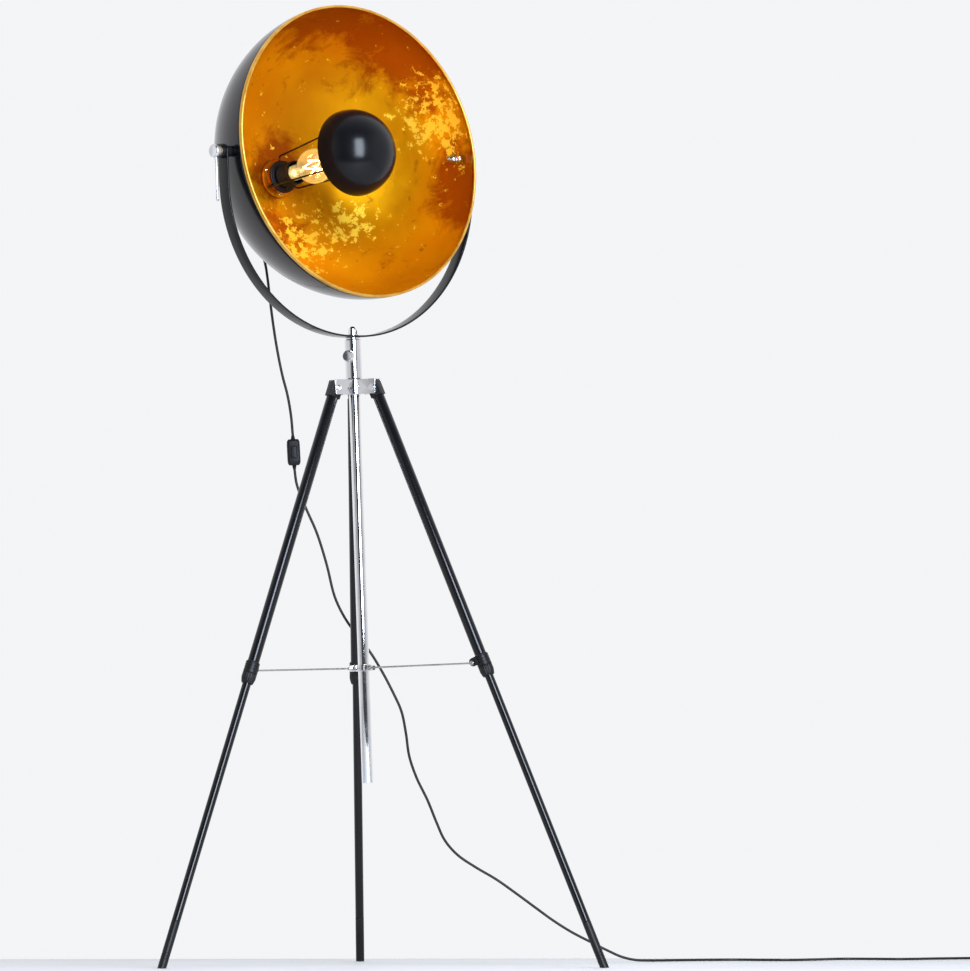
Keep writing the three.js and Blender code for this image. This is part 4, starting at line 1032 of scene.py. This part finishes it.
def yoke_line():
    """The middle of the strip, from one arm's top round to the other, and its share of the width."""
    radius = (ARM_IN + ARM_OUT) / 2 - YOKE_FLAT
    half = STRIP / 2
    tops = [half * math.sin(math.pi / 2 * k / 12) for k in range(12, 0, -1)]
    left = [(-radius - YOKE_FLAT, 0, z) for z in [*tops, 0, -YOKE_STRAIGHT / 2]]
    widths = [math.sqrt(max(0.0, half**2 - z**2)) / half for z in tops] + [1, 1]
    corner = [
        (-YOKE_FLAT - radius * math.cos(a), 0, -YOKE_STRAIGHT - radius * math.sin(a))
        for a in (math.pi / 2 * k / 40 for k in range(41))
    ]
    line = left + corner
    widths += [1] * len(corner)
    widths[0] = 0.03
    line += [(-x, y, z) for x, y, z in reversed(line)]
    return line, widths + widths[::-1]


def strip_rings(line, section, widths):
    """Rings of a flat strip that bends in its own XZ plane."""
    rings = []
    points = [Vector(p) for p in line]
    for i, point in enumerate(points):
        along = (points[min(i + 1, len(points) - 1)] - points[max(i - 1, 0)]).normalized()
        out = Vector((along.z, 0, -along.x))
        rings.append([tuple(point + out * x + Vector((0, y * widths[i], 0))) for x, y in section])
    return rings


def add_yoke():
    shape = Shape()
    line, widths = yoke_line()
    section = rounded_box(STRIP_THICK, STRIP, 0.9, 3)
    shape.grid(strip_rings(line, section, widths))
    boss = fillet([(0, ARM_OUT - 1), (12, ARM_OUT - 1), (12, BOSS_OUT), (0, BOSS_OUT)], 0.7)
    for turn in (NO_TURN, HALF_TURN):
        shape.lathe(boss, 56, turn @ ALONG_X)
    yoke = shape.made("yoke_strip", YOKE, [BLACK_PAINT])
    settle(yoke, "yoke", "black_paint", "yoke")
    for side, turn in ARMS.items():
        add_spacer(side, turn)
        add_tilt_knob(side, turn)


def add_spacer(side, turn):
    """The tube that keeps the dish off the yoke's arm."""
    shape = Shape()
    bore, end = BOLT + 0.3, SPACER_IN + SPACER_LONG
    profile = [(bore, SPACER_IN), (SPACER, SPACER_IN), (SPACER, end), (bore, end)]
    shape.lathe(fillet(profile, 0.7, closed=True), 48, turn @ ALONG_X, ring=True)
    piece = shape.made(f"spacer_tube_{side}", YOKE, [BLACK_PLASTIC])
    settle(piece, "yoke", "black_plastic", f"spacer_{side}")


def add_tilt_knob(side, turn):
    """The knob on the tilt bolt; the left one has a bar to turn it by."""
    shape = Shape()
    radius, long, _ = KNOBS[side]
    grip(shape, radius, KNOB_IN, KNOB_IN + long, 32)
    if side == "left":
        bar = [(0, -84), (1.6, -83.6), (2.5, -82), (2.9, -78)]
        bar += [(2.4, -70), (2.3, -24), (3, -14), (3, -6), (0, -6)]
        shape.lathe(fillet(bar, 1.2), 32, Matrix.Translation((KNOB_IN + long / 2, 0, 0)))
    piece = shape.made(f"tilt_grip_{side}", YOKE @ turn, [KNOB_CHROME])
    settle(piece, f"tilt_knob_{side}", "chrome", f"tilt_knob_{side}")


# ---------------------------------------------------------------- dish, lampholder and bulb

# Heights are along the head's axis, from the tilt bolts towards the back of the dish.
RIM = -PIVOT_BACK
BEAD = 2.2
FLANGE = 34.0
FLANGE_BACK = RIM + bowl_depth(FLANGE, DISH_WALL) - 1.6
FLANGE_FRONT = FLANGE_BACK - 3
HOLDER = 20.5
HOLDER_FRONT = FLANGE_FRONT - 50
RING_FRONT = HOLDER_FRONT + 34
RING_BACK = RING_FRONT + 5
SOCKET_FLOOR = HOLDER_FRONT + 32
BASE_FRONT = SOCKET_FLOOR - 27.3
GLASS_END = BASE_FRONT - 0.3
GLASS_FRONT = GLASS_END - 84
BULB = 30.0
CAP, CAP_WALL = 73.6, 1.2
CAP_CENTRE = RIM + 20
APEX = RIM + DISH_DEPTH
CORD_HOLE = 5.2


def bowl_side(sunk, start, end, steps):
    """The bowl's profile between two angles, outside or sunk by the wall."""
    flat = (DISH_DEPTH - sunk) / (DISH - sunk)
    return [(r, RIM + flat * z) for r, z in arc(DISH - sunk, 0, start, end, steps)]


def add_dish():
    shape = Shape()
    steps = 72
    hole, edge = math.degrees(math.acos(CORD_HOLE / DISH)), 1.2
    outside = bowl_side(0.0, hole, edge, steps)
    turns = [math.radians(60 - 270 * k / 12) for k in range(13)]
    bead = [(DISH - BEAD + BEAD * math.cos(a), RIM + BEAD * math.sin(a)) for a in turns]
    inside = bowl_side(DISH_WALL, edge, hole, steps)
    profile = outside + bead + inside
    bead_starts, bead_ends = len(outside) - 1, len(outside) + len(bead) - 1
    paint, leaf, gilt = range(3)

    def finish_of(k):
        if k < bead_starts or k >= len(profile) - 1:
            return paint
        return gilt if k < bead_ends else leaf

    shape.lathe(profile, 192, ALONG_Y, finish_of, ring=True)
    dish = shape.made("dish_shell", HEAD, [SHADE_PAINT, GOLD_LEAF, RIM_GOLD], sharp=50)
    settle(dish, "head", "shade_metal", "dish")


def add_pivots():
    """Each side's tilt bolt, with the nut that holds the dish on it from inside."""
    for side, turn in ARMS.items():
        add_tilt_bolt(side, turn @ ALONG_X)
        add_tilt_nut(side, turn @ ALONG_X)


def add_tilt_bolt(side, turn):
    shape = Shape()
    start, end = bowl_radius(PIVOT_BACK) - 30, KNOB_IN + KNOBS[side][2]
    root, pitch, turns = BOLT - 0.5, 1.25, 13
    profile = [(0, start)]
    for k in range(turns):
        at = start + 0.4 + pitch * k
        profile += [(root, at), (BOLT, at + 0.5), (BOLT, at + 0.7), (root, at + 1.15)]
    profile += [(BOLT, start + 17.5), (BOLT, end), (0, end)]
    shape.lathe(profile, 32, turn)
    piece = shape.made(f"tilt_bolt_{side}", HEAD, [STEEL])
    settle(piece, "head", "chrome", f"pivot_bolt_{side}")


def add_tilt_nut(side, turn):
    """A hexagon nut with a domed end and a washer against the dish."""
    shape = Shape()
    back = bowl_radius(PIVOT_BACK + 8.6, DISH_WALL) - 1.8
    hex_nut(shape, turn, 8.2, back - 8.5, back - 1.6, BOLT + 0.1)
    bore = BOLT + 0.2
    dome = [(bore, back - 8.4), (6.8, back - 8.6), (6.4, back - 11.5), (4.9, back - 14), (bore, back - 14)]
    shape.lathe(dome, 36, turn, ring=True)
    washer = [(bore, back - 1.5), (8.6, back - 1.5), (8.6, back), (bore, back)]
    shape.lathe(fillet(washer, 0.3, closed=True), 40, turn, ring=True)
    piece = shape.made(f"tilt_nut_{side}", HEAD, [CHROME])
    settle(piece, "head", "chrome", f"pivot_nut_{side}")


def add_lampholder():
    """The holder: a leafed seat plate with three screws and a black body with a thread."""
    shape = Shape()
    black, metal, leaf = range(3)
    back, tail = FLANGE_BACK, FLANGE_FRONT - 8
    seat = [(0, back), (FLANGE, back), (FLANGE - 1, FLANGE_FRONT), (HOLDER + 3, FLANGE_FRONT - 1)]
    seat += [(HOLDER - 0.6, tail), (0, tail)]
    shape.lathe(fillet(seat, 0.8), 72, ALONG_Y, leaf)
    waist = HOLDER - 0.5
    body = [(0, FLANGE_FRONT - 1), (waist, FLANGE_FRONT - 1), (waist, HOLDER_FRONT + 30)]
    root = HOLDER - 0.7
    for k in range(9):
        at = HOLDER_FRONT + 28 - 2.6 * k
        body += [(HOLDER, at + 0.8), (root, at + 0.3), (root, at - 0.6), (HOLDER, at - 1.1)]
    body += [(HOLDER, HOLDER_FRONT), (18, HOLDER_FRONT), (18, SOCKET_FLOOR), (0, SOCKET_FLOOR)]
    shape.lathe(fillet(body, 0.4), 72, ALONG_Y, black)
    out, face = 28, FLANGE_FRONT - 0.2
    for degrees in (30, 150, 270):
        angle = math.radians(degrees)
        place = Matrix.Translation((out * math.cos(angle), face, out * math.sin(angle)))
        screw_head(shape, place @ Matrix.Rotation(math.pi / 2, 4, "X"), 2.9, 1.8, metal)
    holder = shape.made("bulb_holder", HEAD, [HOLDER_BLACK, KNOB_CHROME, GOLD_LEAF])
    settle(holder, "head", "black_plastic", "lampholder")
    add_holder_ring()


def add_holder_ring():
    """The shade ring: fluted round its edge, with a plain face and hole."""
    shape = Shape()
    edge = fluted(28, 0.5, 40, 6)
    face, hole = circled(edge, 24.5), circled(edge, HOLDER + 0.25)
    step = RING_FRONT - 1.6
    levels = [(RING_FRONT, face), (RING_FRONT + 0.3, inset(edge, 0.8)), (RING_FRONT + 1, edge)]
    levels += [(RING_BACK - 0.6, edge), (RING_BACK, inset(edge, 0.6)), (RING_BACK, hole)]
    levels += [(step, hole), (step, inset(face, 1.2)), (RING_FRONT - 0.6, face)]
    rings = [[(x, y, z) for x, y in outline] for z, outline in levels]
    shape.grid(rings, turn=ALONG_Y, loop=False)
    piece = shape.made("shade_ring", HEAD, [HOLDER_BLACK])
    settle(piece, "head", "black_plastic", "holder_ring")


def add_bulb():
    add_bulb_base()
    add_bulb_glass()
    add_bulb_stem()


def add_bulb_base():
    """The screw cap, with its insulator and contact."""
    shape = Shape()
    end = BASE_FRONT + 24
    profile = [(0, BASE_FRONT), (12.2, BASE_FRONT), (12.6, BASE_FRONT + 2)]
    for k in range(5):
        at = BASE_FRONT + 3 + 3.4 * k
        profile += [(12.1, at), (12.9, at + 0.9), (13.2, at + 1.7), (12.9, at + 2.5)]
    profile += [(12.1, BASE_FRONT + 20.4), (9.0, end), (0, end)]
    shape.lathe(profile, 48, ALONG_Y)
    shape.lathe([(0, end), (8.8, end), (5, end + 1.6), (0, end + 1.6)], 36, ALONG_Y, 1)
    shape.lathe([(0, end + 1.4), (4, end + 1.6), (3, end + 3), (0, end + 3)], 24, ALONG_Y)
    piece = shape.made("screw_base", HEAD, [BRASS, CERAMIC])
    settle(piece, "head", "bulb_brass", "bulb_base")


def add_bulb_glass():
    """The pear-shaped envelope, closed at its crown and open at its neck."""
    shape = Shape()
    centre, neck, wall = GLASS_FRONT + BULB, 13.2, 1.0
    outer = [(0, GLASS_FRONT), *arc(BULB, centre, -86, 48, 30)]
    outer += [(17.6, centre + 26), (15, centre + 31), (13.6, centre + 37)]
    outer += [(neck, centre + 43), (neck, GLASS_END)]
    inner = [(r - wall, z) for r, z in reversed(outer[1:])]
    inner[-1] = (inner[-1][0], GLASS_FRONT + wall)
    shape.lathe([*outer, *inner, (0, GLASS_FRONT + wall)], 72, ALONG_Y)
    piece = shape.made("bulb_envelope", HEAD, [BULB_GLASS], sharp=60)
    settle(piece, "head", "bulb_glass", "bulb_glass")


def add_bulb_stem():
    """The stem's flared foot and rod, its support wires, and the zigzag filament round it."""
    shape = Shape()
    glass, wire, filament = range(3)
    foot, tip = GLASS_END, GLASS_FRONT + 24
    profile = [(0, foot), (10, foot), (6.5, foot - 4), (3.2, foot - 14), (2.6, foot - 26)]
    profile += [(1.6, foot - 32), (1.6, tip), (2.6, tip - 2), (0, tip - 4)]
    shape.lathe(profile, 28, ALONG_Y, glass)
    posts = 8
    front, back = GLASS_FRONT + 20, GLASS_FRONT + 46
    zigzag = []
    for k in range(posts):
        angle = 2 * math.pi * k / posts
        radius, at = (11, front) if k % 2 else (13, back)
        end = (radius * math.cos(angle), at, radius * math.sin(angle))
        zigzag.append(end)
        start = (1.4 * math.cos(angle), tip if k % 2 else back + 8, 1.4 * math.sin(angle))
        shape.sweep([start, end], polygon(0.28, 8), up=(0.3, 0.2, 1), material=wire)
    for way in (-1, 1):
        lead = [(way * 2, foot - 24, 0), (way * 4, back + 14, 0), (way * 13, back, 0)]
        shape.sweep(lead, polygon(0.35, 8), up=(0, 0, 1), material=wire)
    steps = 40
    line = []
    for a, b in pairwise([*zigzag, zigzag[0]]):
        line += [Vector(a).lerp(Vector(b), k / steps) for k in range(steps)]
    coil = []
    for i, point in enumerate(line):
        angle = i * 1.1
        coil.append(point + Vector((0.55 * math.cos(angle), 0.2 * math.sin(angle), 0.55 * math.sin(angle))))
    shape.sweep(coil, polygon(0.5, 8), up=(0.2, 0.3, 1), material=filament)
    piece = shape.made("bulb_mount", HEAD, [BULB_GLASS, STEEL, FILAMENT], sharp=60)
    settle(piece, "head", "bulb_glass", "bulb_stem")


def add_glare_cap():
    shape = Shape()
    steps, apex, inner = 48, -89.6, CAP - CAP_WALL
    outside = arc(CAP, CAP_CENTRE, apex, 0, steps)
    inside = arc(inner, CAP_CENTRE, 0, apex, steps)
    lip = [(CAP, CAP_CENTRE + 0.6), (CAP - 0.3, CAP_CENTRE + 1), (inner + 0.3, CAP_CENTRE + 1)]
    profile = [(0, CAP_CENTRE - CAP), *outside, *lip, *inside, (0, CAP_CENTRE - inner)]
    shape.lathe(profile, 128, ALONG_Y)
    cap = shape.made("glare_shield", HEAD, [CAP_PAINT], sharp=50)
    settle(cap, "head", "cap_metal", "glare_cap")
    add_cap_rods()


def add_cap_rods():
    """Three bent rods from the holder's ring to feet inside the cap."""
    reach = CAP - 19.6
    wall = math.sqrt((CAP - CAP_WALL) ** 2 - (reach + ROD) ** 2)
    end = CAP_CENTRE - wall + 1.4
    start = RING_BACK + 0.3 + ROD
    heel, bend = 37.0, 5.0
    route = [
        (HOLDER + 0.3, start), (heel - bend, start), (heel - bend / 4, start - bend / 4),
        (heel, start - bend), (heel + 0.5, start - 3 * bend), ((heel + reach) / 2, (start + end) / 2),
        (reach, end),
    ]
    line = smooth([(x, y, 0) for x, y in route], 8)
    foot = fillet([(0, -1.2), (2.6, -0.6), (2.6, 1.6), (0, 1.6)], 0.4)
    at_end = Matrix.Translation((reach - 0.2, end + 0.2, 0)) @ ALONG_Y
    for k, degrees in enumerate((90, 210, 330), 1):
        shape = Shape()
        turn = Matrix.Rotation(-math.radians(degrees), 4, "Y")
        shape.sweep(line, polygon(ROD, 14), up=(0, 0, 1), turn=turn)
        shape.lathe(foot, 24, turn @ at_end)
        piece = shape.made(f"shield_stay_{k}", HEAD, [CAP_PAINT])
        settle(piece, "head", "cap_metal", f"cap_rod_{k}")


def add_gland():
    """The cable gland on the back of the dish, with its tapered, ribbed strain relief."""
    shape = Shape()
    foot, low, stud = APEX + 0.3, FLANGE_BACK + 0.3, CORD_HOLE - 0.3
    shape.lathe([(0, low), (stud, low), (stud, foot + 1), (0, foot + 1)], 32, ALONG_Y)
    top = foot + 8
    nut = levelled(fluted(9, 0.5, 12, 8), [(foot, 0.97), (foot + 0.6, 1), (top - 1.2, 1), (top, 0.86)])
    shape.grid([[(0, 0, foot)], *nut, [(0, 0, top)]], turn=ALONG_Y)
    ribs, long = 8, 36.5
    step = long / ribs
    profile = [(0, top - 1)]
    for k in range(ribs):
        at, r = top + step * k, 5.5 - 2.0 * k / ribs
        profile += [(r, at), (r - 0.1, at + 0.6 * step)]
        profile += [(r - 0.8, at + 0.68 * step), (r - 0.8, at + 0.94 * step)]
    profile += [(3.3, top + long), (0, top + long)]
    shape.lathe(profile, 32, ALONG_Y)
    gland = shape.made("cable_gland", HEAD, [BLACK_PLASTIC])
    settle(gland, "head", "black_plastic", "cord_gland")


# ---------------------------------------------------------------- stage

FLOOR_FRONT, FLOOR_BACK = -2.6, 0.60  # the background begins where the floor ends
FLOOR_SIDE = 3.2


def add_floor():
    shape = Shape()
    outline = [(-FLOOR_SIDE, FLOOR_FRONT), (FLOOR_SIDE, FLOOR_FRONT)]
    outline += [(FLOOR_SIDE, FLOOR_BACK), (-FLOOR_SIDE, FLOOR_BACK)]
    shape.prism(outline, -0.02, -0.0005, 0.001)
    made, tree, shader = new_material("floor", Roughness=0.6)
    grain = noise(tree, 3.0, 6.0, 0.6)
    greys = ramp(tree, grain, (0.3, (0.56, 0.56, 0.57)), (0.7, (0.62, 0.62, 0.63)))
    tree.links.new(greys, shader.inputs["Base Color"])
    shape.made("floor", NO_TURN, [made])


def add_light(name, place, target, size, power, colour=(1, 1, 1), mirrored=True):
    """A soft box; one that isn't mirrored lights the lamp without showing in its gloss."""
    data = bpy.data.lights.new(name, "AREA")
    data.shape = "RECTANGLE"
    data.size, data.size_y = size
    data.energy = power
    data.color = colour
    light = bpy.data.objects.new(name, data)
    light.location = place
    light.rotation_euler = (Vector(target) - Vector(place)).to_track_quat("-Z", "Y").to_euler()
    light.visible_glossy = mirrored
    bpy.context.scene.collection.objects.link(light)


def add_world():
    """A pale backdrop; what the lamp's gloss sees is bright behind it and at its sides."""
    world = bpy.data.worlds.new("studio")
    bpy.context.scene.world = world
    world.use_nodes = True
    tree = world.node_tree
    ground = tree.nodes["Background"]
    way = add_node(tree, "ShaderNodeTexCoord").outputs["Generated"]
    parts = add_node(tree, "ShaderNodeSeparateXYZ", {"Vector": way}).outputs
    behind = span(tree, parts["Y"], 0.0, 1.0, -0.5, 0.4)
    aside = span(tree, maths(tree, "ABSOLUTE", parts["X"]), 0.0, 0.75, 0.5, 0.85)
    light = maths(tree, "MAXIMUM", behind, aside)
    room = mix(tree, light, (0.06, 0.062, 0.07, 1), (1.0, 1.0, 1.03, 1))
    seen = add_node(tree, "ShaderNodeLightPath").outputs["Is Camera Ray"]
    colour = mix(tree, seen, room, (0.905, 0.91, 0.93, 1))
    tree.links.new(colour, ground.inputs["Color"])
    ground.inputs["Strength"].default_value = 1.0


def add_lights():
    add_light("key", (1.0, -3.8, 2.1), (0, 0, 1.5), (1.5, 3.2), 290, (0.76, 0.86, 1))
    add_light("front", (-1.2, -3.6, 2.2), (0, 0, 1.0), (1.6, 1.6), 15, mirrored=False)
    add_light("top", (0.2, -0.4, 3.4), (0, 0, 0.6), (1.6, 1.6), 40, mirrored=False)
    bulb = bpy.data.lights.new("bulb_light", "POINT")
    bulb.energy = 3.0
    bulb.color = (1.0, 0.72, 0.35)
    bulb.shadow_soft_size = 0.02
    glow = bpy.data.objects.new("bulb_light", bulb)
    glow.location = HEAD @ Vector((0, GLASS_FRONT + BULB, 0))
    glow.visible_camera = False
    glow.visible_glossy = False
    glow.visible_transmission = False
    bpy.context.scene.collection.objects.link(glow)


# ---------------------------------------------------------------- assembly

add_camera()
switch = add_switch()
plug = add_plug()
add_cords()
for side in SIDES:
    add_leg(side)
add_hub()
add_column()
add_sleeve()
add_height_knob()
add_pole()
add_swivel()
add_spreader()
add_yoke()
add_dish()
add_pivots()
add_lampholder()
add_bulb()
add_glare_cap()
add_gland()
add_floor()
add_world()
add_lights()
bpy.context.scene.view_settings.view_transform = "Standard"
